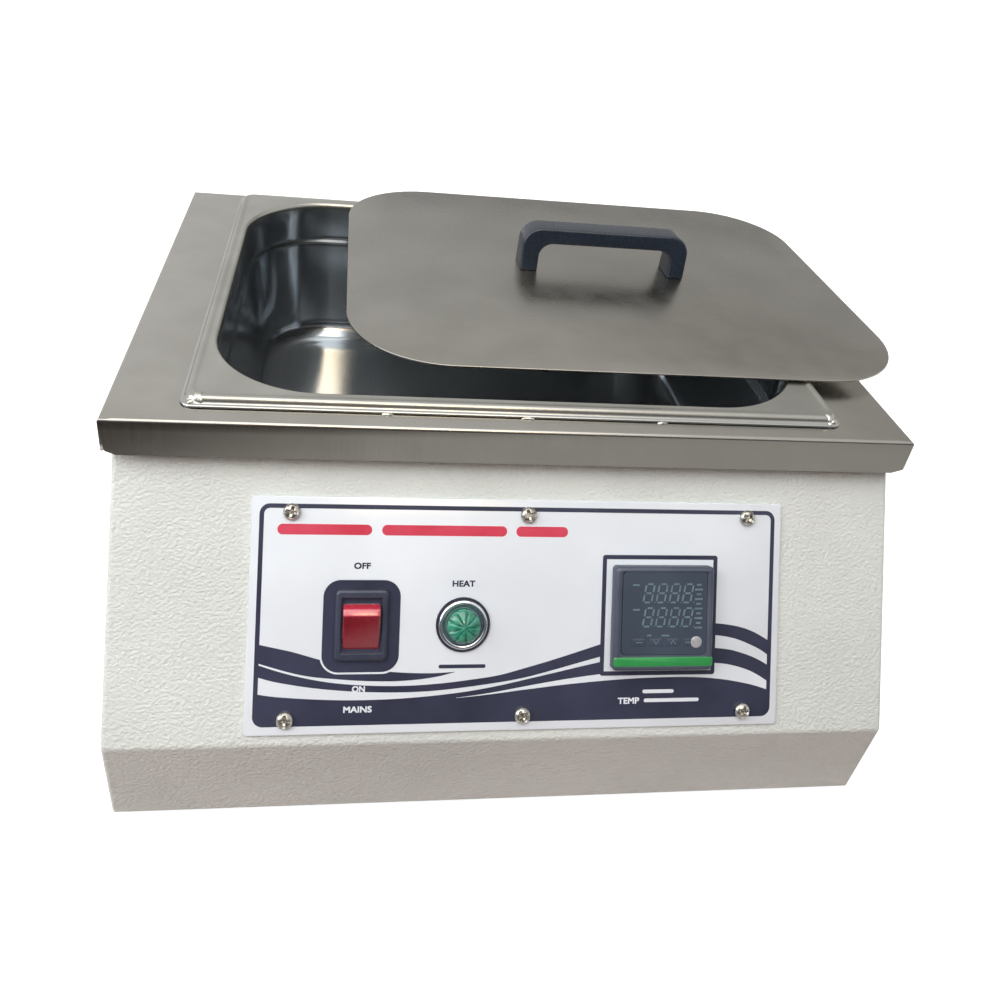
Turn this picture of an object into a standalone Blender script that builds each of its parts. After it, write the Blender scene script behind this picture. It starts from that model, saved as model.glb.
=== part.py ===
"""Tissue flotation bath: a heated stainless pan in a sheet steel cabinet with a slanted front.

Metres, +Z up, front towards -Y. The origin is under the middle of the whole object, on the surface
that its feet stand on, with the loose lid lying where it has been pushed aside.
"""

import math

import bmesh
import bpy
from mathutils import Matrix, Vector

# Fits that every piece shares
SEAT_GAP = 0.0003
SCREW_CLEARANCE = 0.0004
KEY_CLEARANCE = 0.00035
OVERRUN = 0.004

# Top plate with its folded skirt
PLATE_WIDTH = 0.391
PLATE_DEPTH = 0.2853
PLATE_SHEET = 0.0012
SKIRT_HEIGHT = 0.0191
SNIP_WIDTH = 0.0062
SNIP_HEIGHT = 0.002
STUD_RADIUS = 0.002
STUD_LENGTH = 0.011
STUD_SPACING = 0.2

# Cabinet of folded sheet, its slanted front and the kick strip below the bend
CABINET_SHEET = 0.0012
SKIRT_GAP = 0.0013
FRONT_SETBACK = 0.0106
FRONT_SLANT = math.radians(32.7)
SLANT_LENGTH = 0.1402
TOP_BEND_RISE = 0.0035
KICK_HEIGHT = 0.0502
KICK_INSET = 0.003
FLANGE_WIDTH = 0.011
REAR_SCREW_INSET = 0.026
BASE_SHEET = 0.0012
REAR_SHEET = 0.0012

# Drawn pan: its rim stands on the plate, a shoulder runs round its wall
RIM_WIDTH = 0.325
RIM_DEPTH = 0.268
RIM_CORNER = 0.0045
RIM_HEIGHT = 0.0046
RIM_SLOPE = 0.0022
RIM_LIP = 0.0016
OPENING_WIDTH = 0.3034
OPENING_DEPTH = 0.2455
OPENING_CORNER = 0.0525
PAN_SHIFT_X = -0.0008
PAN_SHIFT_Y = 0.002
PAN_DEPTH = 0.1
PAN_SHEET = 0.0008
PAN_EDGE_RADIUS = 0.0025
SHOULDER_DROP = 0.0285
SHOULDER_STEP = 0.0022
PAN_DRAFT = 0.004
FLOOR_RADIUS = 0.014

# Loose lid, pushed to the right and to the rear, and its handle
LID_WIDTH = 0.315
LID_DEPTH = 0.252
LID_CORNER = 0.0553
LID_SHEET = 0.0012
LID_SHIFT_X = 0.0683
LID_SHIFT_Y = 0.0313
HANDLE_LENGTH = 0.1064
HANDLE_WIDTH = 0.0155
HANDLE_FOOT_WIDTH = 0.021
HANDLE_HEIGHT = 0.0265
HANDLE_BAR = 0.0096
HANDLE_LEG = 0.0108
HANDLE_OUTER_RADIUS = 0.0115
HANDLE_INNER_RADIUS = 0.0085
HANDLE_OFFSET_X = 0.002
HANDLE_OFFSET_Y = 0.0065

# Front plate, measured from the top of the slanted front
LABEL_WIDTH = 0.2633
LABEL_HEIGHT = 0.1116
LABEL_SHEET = 0.001
LABEL_CENTRE_X = 0.0018
LABEL_DROP = 0.0235
LABEL_SCREW_MARGIN_X = 0.0185
LABEL_SCREW_MARGIN_Y = 0.0072

# Mains switch
SWITCH_X = -0.0773
SWITCH_DROP = 0.0838
SWITCH_WIDTH = 0.0252
SWITCH_HEIGHT = 0.0335
SWITCH_BEZEL = 0.002
SWITCH_WALL = 0.0012
SWITCH_DEPTH = 0.024
ROCKER_WIDTH = 0.019
ROCKER_RADIUS = 0.0126
ROCKER_CLEARANCE = 0.00035
ROCKER_TILT = math.radians(12)
ROCKER_CORNER_ANGLE = math.radians(28)
ROCKER_FOOT_ANGLE = math.radians(5)
ROCKER_WAIST = 0.0036
ROCKER_KEEL = 0.004
ROCKER_PIVOT_HEIGHT = -0.0005
PIVOT_PIN_RADIUS = 0.0012
PIVOT_PIN_LENGTH = 0.0008

# Heat lamp
LAMP_X = -0.0288
LAMP_DROP = 0.0838
LAMP_RADIUS = 0.01315
LAMP_RING_RADIUS = 0.0115
LAMP_RING_INNER = 0.0096
LAMP_FLANGE = 0.0018
LAMP_BARREL_RADIUS = 0.0098
LAMP_BARREL_LENGTH = 0.02
LENS_RADIUS = 0.0081
LENS_SEAT_DEPTH = 0.006
LENS_PROUD = 0.0058
LENS_DOME = 0.0006
LENS_BEVEL = 0.0024
LENS_CROWN_SHARE = 0.75
LAMP_NUT_RADIUS = 0.0135
LAMP_NUT_HEIGHT = 0.0035

# Temperature controller
CONTROLLER_X = 0.0706
CONTROLLER_DROP = 0.0802
CONTROLLER_SIZE = 0.051
CONTROLLER_PROUD = 0.0062
CONTROLLER_BODY = 0.0446
CONTROLLER_DEPTH = 0.056
WINDOW_WIDTH = 0.0434
WINDOW_HEIGHT = 0.0408
WINDOW_THICKNESS = 0.0016
WINDOW_INSET = 0.0004
WINDOW_TOP_MARGIN = 0.0022
STRIP_HEIGHT = 0.0046
STRIP_THICKNESS = 0.0006
STRIP_BOTTOM_MARGIN = 0.0022
KEY_WIDTH = 0.0068
KEY_HEIGHT = 0.0038
KEY_PITCH = 0.0089
KEY_PROUD = 0.0004
KEY_TRAVEL = 0.0005
KEY_RISE = 0.006
KEY_ROW_SHIFT = 0.0003
CLAMP_WALL = 0.0028
CLAMP_LENGTH = 0.007

# Heating, below the pan
HEATER_WIDTH = 0.19
HEATER_DEPTH = 0.17
HEATER_CORNER = 0.02
HEATER_THICKNESS = 0.0025
HEATER_SHIFT = -0.024
INSULATION_THICKNESS = 0.009
CUTOUT_RADIUS = 0.008
CUTOUT_HEIGHT = 0.0095
CUTOUT_EDGE_GAP = 0.026
PROBE_RADIUS = 0.0025
PROBE_LENGTH = 0.05
PROBE_EDGE_GAP = 0.007

# Mains wiring: terminal block on the base, inlet in the rear panel
TERMINAL_LENGTH = 0.052
TERMINAL_WIDTH = 0.022
TERMINAL_HEIGHT = 0.017
TERMINAL_X = 0.11
TERMINAL_Y = 0.06
INLET_X = 0.12
INLET_Z = 0.055
INLET_FLANGE_WIDTH = 0.05
INLET_FLANGE_HEIGHT = 0.0285
INLET_FLANGE = 0.0025
INLET_BODY_WIDTH = 0.028
INLET_BODY_HEIGHT = 0.0205
INLET_BODY_DEPTH = 0.024
INLET_SOCKET_WIDTH = 0.0248
INLET_SOCKET_HEIGHT = 0.0172
INLET_SOCKET_DEPTH = 0.0165
INLET_SCREW_SPACING = 0.04
INLET_PIN_WIDTH = 0.004
INLET_PIN_THICKNESS = 0.002
INLET_PIN_LENGTH = 0.013
INLET_PIN_SPACING = 0.007
INLET_PIN_DROP = 0.0036
INLET_EARTH_DROP = 0.0006
VENT_LENGTH = 0.05
VENT_WIDTH = 0.004
VENT_PITCH = 0.011
VENT_X = -0.08
VENT_COUNT = 6

# Feet and fasteners
FOOT_HEIGHT = 0.008
FOOT_RADIUS = 0.0105
FOOT_TOP_RADIUS = 0.009
FOOT_BORE_DEPTH = 0.0045
FOOT_MARGIN = 0.034
PAN_HEAD_RADIUS = 0.004
PAN_HEAD_HEIGHT = 0.0026
PAN_HEAD_SHANK = 0.0019
PAN_HEAD_LENGTH = 0.007
SMALL_HEAD_RADIUS = 0.003
SMALL_HEAD_HEIGHT = 0.002
SMALL_SHANK = 0.0014
SMALL_LENGTH = 0.006
NUT_RADIUS = 0.004
NUT_HEIGHT = 0.0032
LID_SCREW_LENGTH = 0.009

# Facets of the round pieces, the weld that closes a turned one, and the angle that stays sharp
ROUND_STEPS = 16
FINE_STEPS = 28
SMALL_STEPS = 12
LENS_STEPS = 24
NUT_SIDES = 6
CORNER_STEPS = 7
LID_CORNER_STEPS = 10
HEATER_CORNER_STEPS = 4
FLOOR_STEPS = 4
ROCKER_STEPS = 3
HANDLE_OUTER_STEPS = 6
HANDLE_INNER_STEPS = 4
WELD = 0.00001
OUTLINE_WELD = 0.000001
SHARP_ANGLE = math.radians(35)

# Places worked out from the sizes above
SKIRT_BOTTOM = FOOT_HEIGHT + KICK_HEIGHT + SLANT_LENGTH * math.cos(FRONT_SLANT)
TOP = SKIRT_BOTTOM + SKIRT_HEIGHT
PLATE_FRONT = -PLATE_DEPTH / 2
CABINET_HALF = PLATE_WIDTH / 2 - PLATE_SHEET - SKIRT_GAP
CABINET_REAR = PLATE_DEPTH / 2 - PLATE_SHEET - SKIRT_GAP
CABINET_TOP = TOP - PLATE_SHEET - SEAT_GAP
INSIDE_HALF = CABINET_HALF - CABINET_SHEET
FACE_TOP_Y = PLATE_FRONT + FRONT_SETBACK
NOSE_Y = FACE_TOP_Y - SLANT_LENGTH * math.sin(FRONT_SLANT)
NOSE_Z = FOOT_HEIGHT + KICK_HEIGHT
KICK_BOTTOM_Y = NOSE_Y + KICK_INSET
BASE_FRONT = KICK_BOTTOM_Y + CABINET_SHEET + SEAT_GAP
REAR_FACE = CABINET_REAR - REAR_SHEET - SEAT_GAP
BASE_FLANGE_BOTTOM = FOOT_HEIGHT + BASE_SHEET + SEAT_GAP
RIM_TOP = TOP + SEAT_GAP + RIM_HEIGHT
PAN_FLOOR = RIM_TOP - PAN_DEPTH
PAN_UNDERSIDE = PAN_FLOOR - PAN_SHEET
LID_BOTTOM = RIM_TOP + SEAT_GAP
PANEL_SEAT = SEAT_GAP + LABEL_SHEET + SEAT_GAP
FLANGE_MIDDLE = INSIDE_HALF - FLANGE_WIDTH / 2
CONTROLLER_FACE = PANEL_SEAT + CONTROLLER_PROUD
WINDOW_CENTRE_Y = CONTROLLER_SIZE / 2 - WINDOW_TOP_MARGIN - WINDOW_HEIGHT / 2
STRIP_CENTRE_Y = STRIP_BOTTOM_MARGIN + STRIP_HEIGHT / 2 - CONTROLLER_SIZE / 2
KEY_CENTRE_Y = WINDOW_CENTRE_Y - WINDOW_HEIGHT / 2 + KEY_RISE
LEFT_END = -PLATE_WIDTH / 2
RIGHT_END = max(PLATE_WIDTH / 2, LID_SHIFT_X + LID_WIDTH / 2)
REAR_END = max(PLATE_DEPTH / 2, LID_SHIFT_Y + LID_DEPTH / 2)

# Colour, metallic and roughness of each material
FINISHES = {
    "stainless": ((0.62, 0.61, 0.58), 1.0, 0.34),
    "pan_steel": ((0.42, 0.42, 0.41), 1.0, 0.24),
    "powder_coat": ((0.83, 0.82, 0.77), 0.0, 0.55),
    "label_white": ((0.88, 0.9, 0.92), 0.0, 0.18),
    "black_plastic": ((0.03, 0.035, 0.045), 0.0, 0.35),
    "red_rocker": ((0.6, 0.03, 0.05), 0.0, 0.2),
    "chrome": ((0.8, 0.81, 0.82), 1.0, 0.1),
    "green_lens": ((0.05, 0.45, 0.28), 0.0, 0.12),
    "slate_plastic": ((0.09, 0.11, 0.14), 0.0, 0.35),
    "window": ((0.07, 0.09, 0.12), 0.0, 0.15),
    "green_strip": ((0.05, 0.42, 0.12), 0.0, 0.3),
    "zinc": ((0.6, 0.61, 0.63), 1.0, 0.3),
    "rubber": ((0.02, 0.02, 0.02), 0.0, 0.75),
    "silicone": ((0.5, 0.16, 0.08), 0.0, 0.6),
    "insulation": ((0.85, 0.83, 0.76), 0.0, 0.95),
    "brass": ((0.72, 0.55, 0.28), 1.0, 0.35),
}


def clear_scene():
    for obj in list(bpy.data.objects):
        bpy.data.objects.remove(obj, do_unlink=True)


def make_collection(name):
    collection = bpy.data.collections.new(name)
    bpy.context.scene.collection.children.link(collection)
    return collection


def make_material(name):
    colour, metallic, roughness = FINISHES[name]
    material = bpy.data.materials.new(name)
    material.use_nodes = True
    shader = material.node_tree.nodes["Principled BSDF"]
    shader.inputs["Base Color"].default_value = (*colour, 1)
    shader.inputs["Metallic"].default_value = metallic
    shader.inputs["Roughness"].default_value = roughness
    return material


def make_empty(name, collection, parent=None, location=(0, 0, 0), rotation=(0, 0, 0)):
    empty = bpy.data.objects.new(name, None)
    empty.location = location
    empty.rotation_euler = rotation
    empty.parent = parent
    collection.objects.link(empty)
    return empty


clear_scene()
PARTS = make_collection("tissue_flotation_bath")
HELPERS = make_collection("cutters")
MATERIALS = {name: make_material(name) for name in FINISHES}
BATH_FRAME = make_empty(
    "bath_frame", PARTS, location=(-(LEFT_END + RIGHT_END) / 2, -(NOSE_Y + REAR_END) / 2, 0)
)
FRONT_FRAME = make_empty(
    "front_frame",
    PARTS,
    BATH_FRAME,
    location=(0, FACE_TOP_Y, SKIRT_BOTTOM),
    rotation=(math.pi / 2 - FRONT_SLANT, 0, 0),
)
LID_FRAME = make_empty(
    "lid_frame", PARTS, BATH_FRAME, location=(LID_SHIFT_X, LID_SHIFT_Y, LID_BOTTOM)
)


def add_part(name, mesh, material, parent=BATH_FRAME, location=(0, 0, 0), rotation=(0, 0, 0)):
    """Links one named sub-part to the collection, with its own material."""
    obj = bpy.data.objects.new(name, mesh)
    mesh.name = name
    mesh.materials.clear()
    mesh.materials.append(MATERIALS[material])
    obj.location = location
    obj.rotation_euler = rotation
    obj.parent = parent
    PARTS.objects.link(obj)
    return obj


def add_helper(name, mesh, parent=BATH_FRAME, location=(0, 0, 0), rotation=(0, 0, 0)):
    """Links a shape that only cuts or joins another, and never renders."""
    obj = bpy.data.objects.new(name, mesh)
    obj.location = location
    obj.rotation_euler = rotation
    obj.parent = parent
    obj.hide_render = True
    obj.display_type = "WIRE"
    HELPERS.objects.link(obj)
    return obj


def combine(target, helper, operation):
    modifier = target.modifiers.new(helper.name, "BOOLEAN")
    modifier.operation = operation
    modifier.solver = "EXACT"
    modifier.object = helper


def cut(target, name, mesh, **place):
    combine(target, add_helper(name, mesh, **place), "DIFFERENCE")


def join(target, name, mesh, **place):
    combine(target, add_helper(name, mesh, **place), "UNION")


def box_mesh(x, y, z):
    """A box between two limits along each axis."""
    mesh = bpy.data.meshes.new("box")
    shape = bmesh.new()
    bmesh.ops.create_cube(shape, size=1)
    size = Vector((x[1] - x[0], y[1] - y[0], z[1] - z[0]))
    middle = Vector((x[1] + x[0], y[1] + y[0], z[1] + z[0])) / 2
    for vertex in shape.verts:
        vertex.co = vertex.co * size + middle
    shape.to_mesh(mesh)
    shape.free()
    return mesh


def centred(middle, size):
    return middle - size / 2, middle + size / 2


def cylinder_mesh(radius, low, high, x=0, y=0, steps=ROUND_STEPS, turn=None):
    """An upright cylinder between two heights, turned by a matrix where one is given."""
    mesh = bpy.data.meshes.new("cylinder")
    shape = bmesh.new()
    bmesh.ops.create_cone(
        shape, cap_ends=True, segments=steps, radius1=radius, radius2=radius, depth=high - low
    )
    bmesh.ops.translate(shape, verts=shape.verts, vec=(x, y, (low + high) / 2))
    if turn is not None:
        bmesh.ops.transform(shape, matrix=turn, verts=shape.verts)
    shape.to_mesh(mesh)
    shape.free()
    return mesh


def prism_mesh(outline, low, high, turn=None):
    """A flat outline made solid between two heights, by a filled and extruded 2D curve."""
    curve = bpy.data.curves.new("outline", "CURVE")
    curve.dimensions = "2D"
    curve.fill_mode = "BOTH"
    curve.extrude = (high - low) / 2
    spline = curve.splines.new("POLY")
    spline.points.add(len(outline) - 1)
    for point, (x, y) in zip(spline.points, outline):
        point.co = (x, y, 0, 1)
    spline.use_cyclic_u = True
    source = bpy.data.objects.new("outline", curve)
    bpy.context.scene.collection.objects.link(source)
    graph = bpy.context.evaluated_depsgraph_get()
    mesh = bpy.data.meshes.new_from_object(source.evaluated_get(graph))
    bpy.data.objects.remove(source)
    shape = bmesh.new()
    shape.from_mesh(mesh)
    bmesh.ops.remove_doubles(shape, verts=shape.verts, dist=OUTLINE_WELD)
    bmesh.ops.translate(shape, verts=shape.verts, vec=(0, 0, (low + high) / 2))
    bmesh.ops.recalc_face_normals(shape, faces=shape.faces)
    if turn is not None:
        bmesh.ops.transform(shape, matrix=turn, verts=shape.verts)
    shape.to_mesh(mesh)
    shape.free()
    return mesh


def side_turn():
    """Turns an outline drawn in (y, z) so that its thickness runs along X."""
    return Matrix(((0, 0, 1, 0), (1, 0, 0, 0), (0, 1, 0, 0), (0, 0, 0, 1)))


def arc(centre, radius, start, end, steps):
    """Points along a round stretch, from one angle to another, both ends included."""
    return [
        (
            centre[0] + radius * math.cos(start + (end - start) * step / steps),
            centre[1] + radius * math.sin(start + (end - start) * step / steps),
        )
        for step in range(steps + 1)
    ]


def rounded_rectangle(width, depth, radius, steps=CORNER_STEPS):
    """Corner arcs of a rectangle about the origin, counter-clockwise from the +X +Y corner."""
    x = width / 2 - radius
    y = depth / 2 - radius
    quarter = math.pi / 2
    points = []
    for number, (cx, cy) in enumerate(((x, y), (-x, y), (-x, -y), (x, -y))):
        points += arc((cx, cy), radius, number * quarter, (number + 1) * quarter, steps)
    return points


def turned_part(name, profile, material, steps=ROUND_STEPS, **place):
    """A profile of (radius, height) from the top of its axis down its outer side, turned about Z."""
    mesh = bpy.data.meshes.new(name)
    points = [(radius, 0, height) for radius, height in profile]
    closed = profile[0][0] > 0
    count = len(points)
    edges = [(i, (i + 1) % count) for i in range(count if closed else count - 1)]
    mesh.from_pydata(points, edges, [])
    obj = add_part(name, mesh, material, **place)
    screw = obj.modifiers.new("turn", "SCREW")
    screw.axis = "Z"
    screw.steps = steps
    screw.render_steps = steps
    screw.use_merge_vertices = True
    screw.merge_threshold = WELD
    screw.use_smooth_shade = True
    return obj


def shift_line(start, end, distance):
    """The line through two points, moved to its left by a distance."""
    direction = (Vector(end) - Vector(start)).normalized()
    step = Vector((-direction.y, direction.x)) * distance
    return Vector(start) + step, Vector(end) + step


def crossing(first, second):
    """Where two lines, each given by two points, cross."""
    (a, b), (c, d) = first, second
    along = b - a
    other = d - c
    share = ((c.x - a.x) * other.y - (c.y - a.y) * other.x) / (along.x * other.y - along.y * other.x)
    return a + along * share


def at_height(line, height):
    start, end = line
    return start + (end - start) * ((height - start.y) / (end.y - start.y))


def front_lines(inset):
    """The front's three flats in (y, z), top to bottom, moved inwards by an inset."""
    rise = SKIRT_BOTTOM + TOP_BEND_RISE
    upright_y = FACE_TOP_Y + TOP_BEND_RISE * math.tan(FRONT_SLANT)
    corners = (
        (upright_y, CABINET_TOP),
        (upright_y, rise),
        (NOSE_Y, NOSE_Z),
        (KICK_BOTTOM_Y, FOOT_HEIGHT),
    )
    return [shift_line(a, b, inset) for a, b in zip(corners, corners[1:])]


def side_outline(inset, top, rear, bottom):
    """The cabinet's side shape between a top, a rear and a bottom, inside its front flats."""
    upright, slant, kick = front_lines(inset)
    return [
        at_height(upright, top),
        crossing(upright, slant),
        crossing(slant, kick),
        at_height(kick, bottom),
        (rear, bottom),
        (rear, top),
    ]


def add_screw(name, place, head_radius, head_height, shank_radius, length, parent, rotation=(0, 0, 0)):
    """A round-headed screw whose head stands a seat gap above its place."""
    profile = [
        (0, SEAT_GAP + head_height),
        (head_radius / 2, SEAT_GAP + head_height),
        (head_radius, SEAT_GAP + head_height / 2),
        (head_radius, SEAT_GAP),
        (shank_radius, SEAT_GAP),
        (shank_radius, SEAT_GAP - length),
        (0, SEAT_GAP - length),
    ]
    return turned_part(
        name, profile, "zinc", ROUND_STEPS, parent=parent, location=place, rotation=rotation
    )


def flange_screw_places():
    """Where the base screws sit, on the cabinet's inner flange."""
    front = BASE_FRONT + FLANGE_WIDTH + PAN_HEAD_RADIUS
    rear = REAR_FACE - CABINET_SHEET - FLANGE_WIDTH - PAN_HEAD_RADIUS
    return [(side * FLANGE_MIDDLE, y) for y in (front, rear) for side in (-1, 1)]


def rear_screw_places():
    """Where the rear screws sit, on the cabinet's rear flange."""
    low = FOOT_HEIGHT + REAR_SCREW_INSET
    high = CABINET_TOP - REAR_SCREW_INSET
    return [(side * FLANGE_MIDDLE, z) for z in (low, high) for side in (-1, 1)]


def foot_places():
    front = BASE_FRONT + FOOT_MARGIN
    rear = REAR_FACE - FOOT_MARGIN
    return [(side * (INSIDE_HALF - FOOT_MARGIN), y) for y in (front, rear) for side in (-1, 1)]


def stud_places():
    return [(side * FLANGE_MIDDLE, y * STUD_SPACING / 2) for y in (-1, 1) for side in (-1, 1)]


def label_screw_places():
    """Three along the top of the front plate and three along its bottom, in the front's own plane."""
    across = LABEL_WIDTH / 2 - LABEL_SCREW_MARGIN_X
    top = -LABEL_DROP - LABEL_SCREW_MARGIN_Y
    bottom = -LABEL_DROP - LABEL_HEIGHT + LABEL_SCREW_MARGIN_Y
    return [(LABEL_CENTRE_X + side * across, y) for y in (top, bottom) for side in (-1, 0, 1)]


def make_top_plate():
    half = PLATE_WIDTH / 2
    deep = PLATE_DEPTH / 2
    block = box_mesh((-half, half), (-deep, deep), (SKIRT_BOTTOM, TOP))
    plate = add_part("top_plate", block, "stainless")
    across = (PLATE_SHEET - half, half - PLATE_SHEET)
    along = (PLATE_SHEET - deep, deep - PLATE_SHEET)
    low = SKIRT_BOTTOM - OVERRUN
    cut(plate, "plate_inside", box_mesh(across, along, (low, TOP - PLATE_SHEET)))
    grow = 2 * (PAN_SHEET + SEAT_GAP)
    hole = rounded_rectangle(
        OPENING_WIDTH + grow, OPENING_DEPTH + grow, OPENING_CORNER + PAN_SHEET + SEAT_GAP
    )
    opening = prism_mesh(hole, TOP - PLATE_SHEET - OVERRUN, TOP + OVERRUN)
    cut(plate, "plate_opening", opening, location=(PAN_SHIFT_X, PAN_SHIFT_Y, 0))
    for number, (side, end) in enumerate(((-1, -1), (1, -1), (-1, 1), (1, 1)), 1):
        x = sorted((side * (half - SNIP_WIDTH), side * (half + OVERRUN)))
        y = sorted((end * (deep - SNIP_WIDTH), end * (deep + OVERRUN)))
        snip = box_mesh(x, y, (low, SKIRT_BOTTOM + SNIP_HEIGHT))
        cut(plate, f"skirt_snip_{number}", snip)
    sunk = PLATE_SHEET / 2
    for number, (x, y) in enumerate(stud_places(), 1):
        stud = cylinder_mesh(STUD_RADIUS, TOP - PLATE_SHEET - STUD_LENGTH, TOP - sunk, x, y)
        join(plate, f"plate_stud_{number}", stud)


def pan_levels():
    """Each level of the pan's upper side: width, depth, corner radius and height, outside to inside."""
    foot = TOP + SEAT_GAP + PAN_SHEET
    land = RIM_TOP
    lip = foot + RIM_LIP
    levels = [
        (0, RIM_CORNER, foot),
        (0, RIM_CORNER, lip),
        (RIM_SLOPE, RIM_CORNER, lip),
        (2 * RIM_SLOPE, RIM_CORNER, land),
    ]
    shapes = [
        (RIM_WIDTH - 2 * inset, RIM_DEPTH - 2 * inset, radius, height)
        for inset, radius, height in levels
    ]

    def inner(inset, height):
        radius = OPENING_CORNER - inset
        return OPENING_WIDTH - 2 * inset, OPENING_DEPTH - 2 * inset, radius, height

    edge = PAN_EDGE_RADIUS
    bend = edge * (1 - math.sin(math.pi / 4))
    shapes.append(inner(-edge, land))
    shapes.append(inner(-bend, land - bend))
    shapes.append(inner(0, land - edge))
    shapes.append(inner(0, land - SHOULDER_DROP + SHOULDER_STEP))
    shapes.append(inner(SHOULDER_STEP, land - SHOULDER_DROP))
    low = SHOULDER_STEP + PAN_DRAFT
    for step in range(FLOOR_STEPS + 1):
        angle = step / FLOOR_STEPS * math.pi / 2
        inset = low + FLOOR_RADIUS * (1 - math.cos(angle))
        shapes.append(inner(inset, PAN_FLOOR + FLOOR_RADIUS * (1 - math.sin(angle))))
    return shapes


def make_bath_pan():
    """Rings of unlike rounded rectangles, joined one to the next, then thickened downwards."""
    mesh = bpy.data.meshes.new("bath_pan")
    shape = bmesh.new()
    rings = []
    for width, depth, radius, height in pan_levels():
        outline = rounded_rectangle(width, depth, radius)
        rings.append([shape.verts.new((x, y, height)) for x, y in outline])
    count = len(rings[0])
    for outer, inner in zip(rings, rings[1:]):
        for i in range(count):
            after = (i + 1) % count
            shape.faces.new((outer[i], outer[after], inner[after], inner[i]))
    shape.faces.new(rings[-1])
    shape.normal_update()
    shape.to_mesh(mesh)
    shape.free()
    pan = add_part("bath_pan", mesh, "pan_steel", location=(PAN_SHIFT_X, PAN_SHIFT_Y, 0))
    solidify = pan.modifiers.new("sheet", "SOLIDIFY")
    solidify.thickness = PAN_SHEET
    solidify.offset = -1
    solidify.use_even_offset = True


def make_cabinet_shell():
    outer = side_outline(0, CABINET_TOP, CABINET_REAR, FOOT_HEIGHT)
    shell = add_part(
        "cabinet_shell", prism_mesh(outer, -CABINET_HALF, CABINET_HALF, side_turn()), "powder_coat"
    )
    sheet = CABINET_SHEET
    floor = BASE_FLANGE_BOTTOM + sheet
    ceiling = CABINET_TOP - sheet
    hollow = side_outline(sheet, ceiling, REAR_FACE - sheet, floor)
    cut(shell, "cabinet_hollow", prism_mesh(hollow, -INSIDE_HALF, INSIDE_HALF, side_turn()))
    kick = front_lines(sheet)[2]
    below = FOOT_HEIGHT - OVERRUN
    recess = [
        at_height(kick, BASE_FLANGE_BOTTOM),
        at_height(kick, below),
        (CABINET_REAR + OVERRUN, below),
        (CABINET_REAR + OVERRUN, BASE_FLANGE_BOTTOM),
    ]
    cut(shell, "base_recess", prism_mesh(recess, -INSIDE_HALF, INSIDE_HALF, side_turn()))
    high = CABINET_TOP + OVERRUN
    rear = box_mesh((-INSIDE_HALF, INSIDE_HALF), (REAR_FACE, CABINET_REAR + OVERRUN), (below, high))
    cut(shell, "rear_recess", rear)
    clear = INSIDE_HALF - FLANGE_WIDTH
    front = BASE_FRONT + FLANGE_WIDTH
    back = REAR_FACE - sheet - FLANGE_WIDTH
    cut(shell, "base_opening", box_mesh((-clear, clear), (front, back), (below, floor + OVERRUN)))
    behind = front_lines(sheet)[0][0].x
    top_opening = box_mesh((-clear, clear), (behind, back), (ceiling - OVERRUN, high))
    cut(shell, "top_opening", top_opening)
    rear_height = (floor + FLANGE_WIDTH, ceiling - FLANGE_WIDTH)
    through = (REAR_FACE - sheet - OVERRUN, REAR_FACE + OVERRUN)
    cut(shell, "rear_opening", box_mesh((-clear, clear), through, rear_height))
    for number, (x, y) in enumerate(flange_screw_places(), 1):
        hole = cylinder_mesh(PAN_HEAD_SHANK + SCREW_CLEARANCE, below, floor + OVERRUN, x, y)
        cut(shell, f"flange_hole_{number}", hole)
    for number, (x, z) in enumerate(rear_screw_places(), 1):
        cut_rear_hole(shell, f"rear_flange_hole_{number}", x, z, PAN_HEAD_SHANK + SCREW_CLEARANCE)
    for number, (x, y) in enumerate(stud_places(), 1):
        hole = cylinder_mesh(STUD_RADIUS + SCREW_CLEARANCE, ceiling - OVERRUN, high, x, y)
        cut(shell, f"stud_hole_{number}", hole)
    cut_front_openings(shell, "shell", -sheet - OVERRUN, OVERRUN)


def cut_rear_hole(target, name, x, z, radius):
    """A round hole along Y through whatever stands at the rear."""
    low = REAR_FACE - CABINET_SHEET - OVERRUN
    turn = Matrix.Rotation(-math.pi / 2, 4, "X")
    cut(target, name, cylinder_mesh(radius, low, CABINET_REAR + OVERRUN, x, -z, turn=turn))


def cut_front_openings(target, label, low, high):
    """The openings that the switch, the lamp, the controller and the six screws pass through."""
    gap = SEAT_GAP
    place = {"parent": FRONT_FRAME}
    width = ROCKER_WIDTH + 2 * (ROCKER_CLEARANCE + SWITCH_WALL + gap)
    height = 2 * (ROCKER_RADIUS + ROCKER_CLEARANCE + SWITCH_WALL + gap)
    switch = box_mesh(centred(SWITCH_X, width), centred(-SWITCH_DROP, height), (low, high))
    cut(target, f"{label}_switch_opening", switch, **place)
    lamp = cylinder_mesh(LAMP_BARREL_RADIUS + gap, low, high, LAMP_X, -LAMP_DROP, FINE_STEPS)
    cut(target, f"{label}_lamp_opening", lamp, **place)
    body = CONTROLLER_BODY + 2 * gap
    controller = box_mesh(centred(CONTROLLER_X, body), centred(-CONTROLLER_DROP, body), (low, high))
    cut(target, f"{label}_controller_opening", controller, **place)
    for number, (x, y) in enumerate(label_screw_places(), 1):
        hole = cylinder_mesh(PAN_HEAD_SHANK + SCREW_CLEARANCE, low, high, x, y)
        cut(target, f"{label}_screw_hole_{number}", hole, **place)


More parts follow.
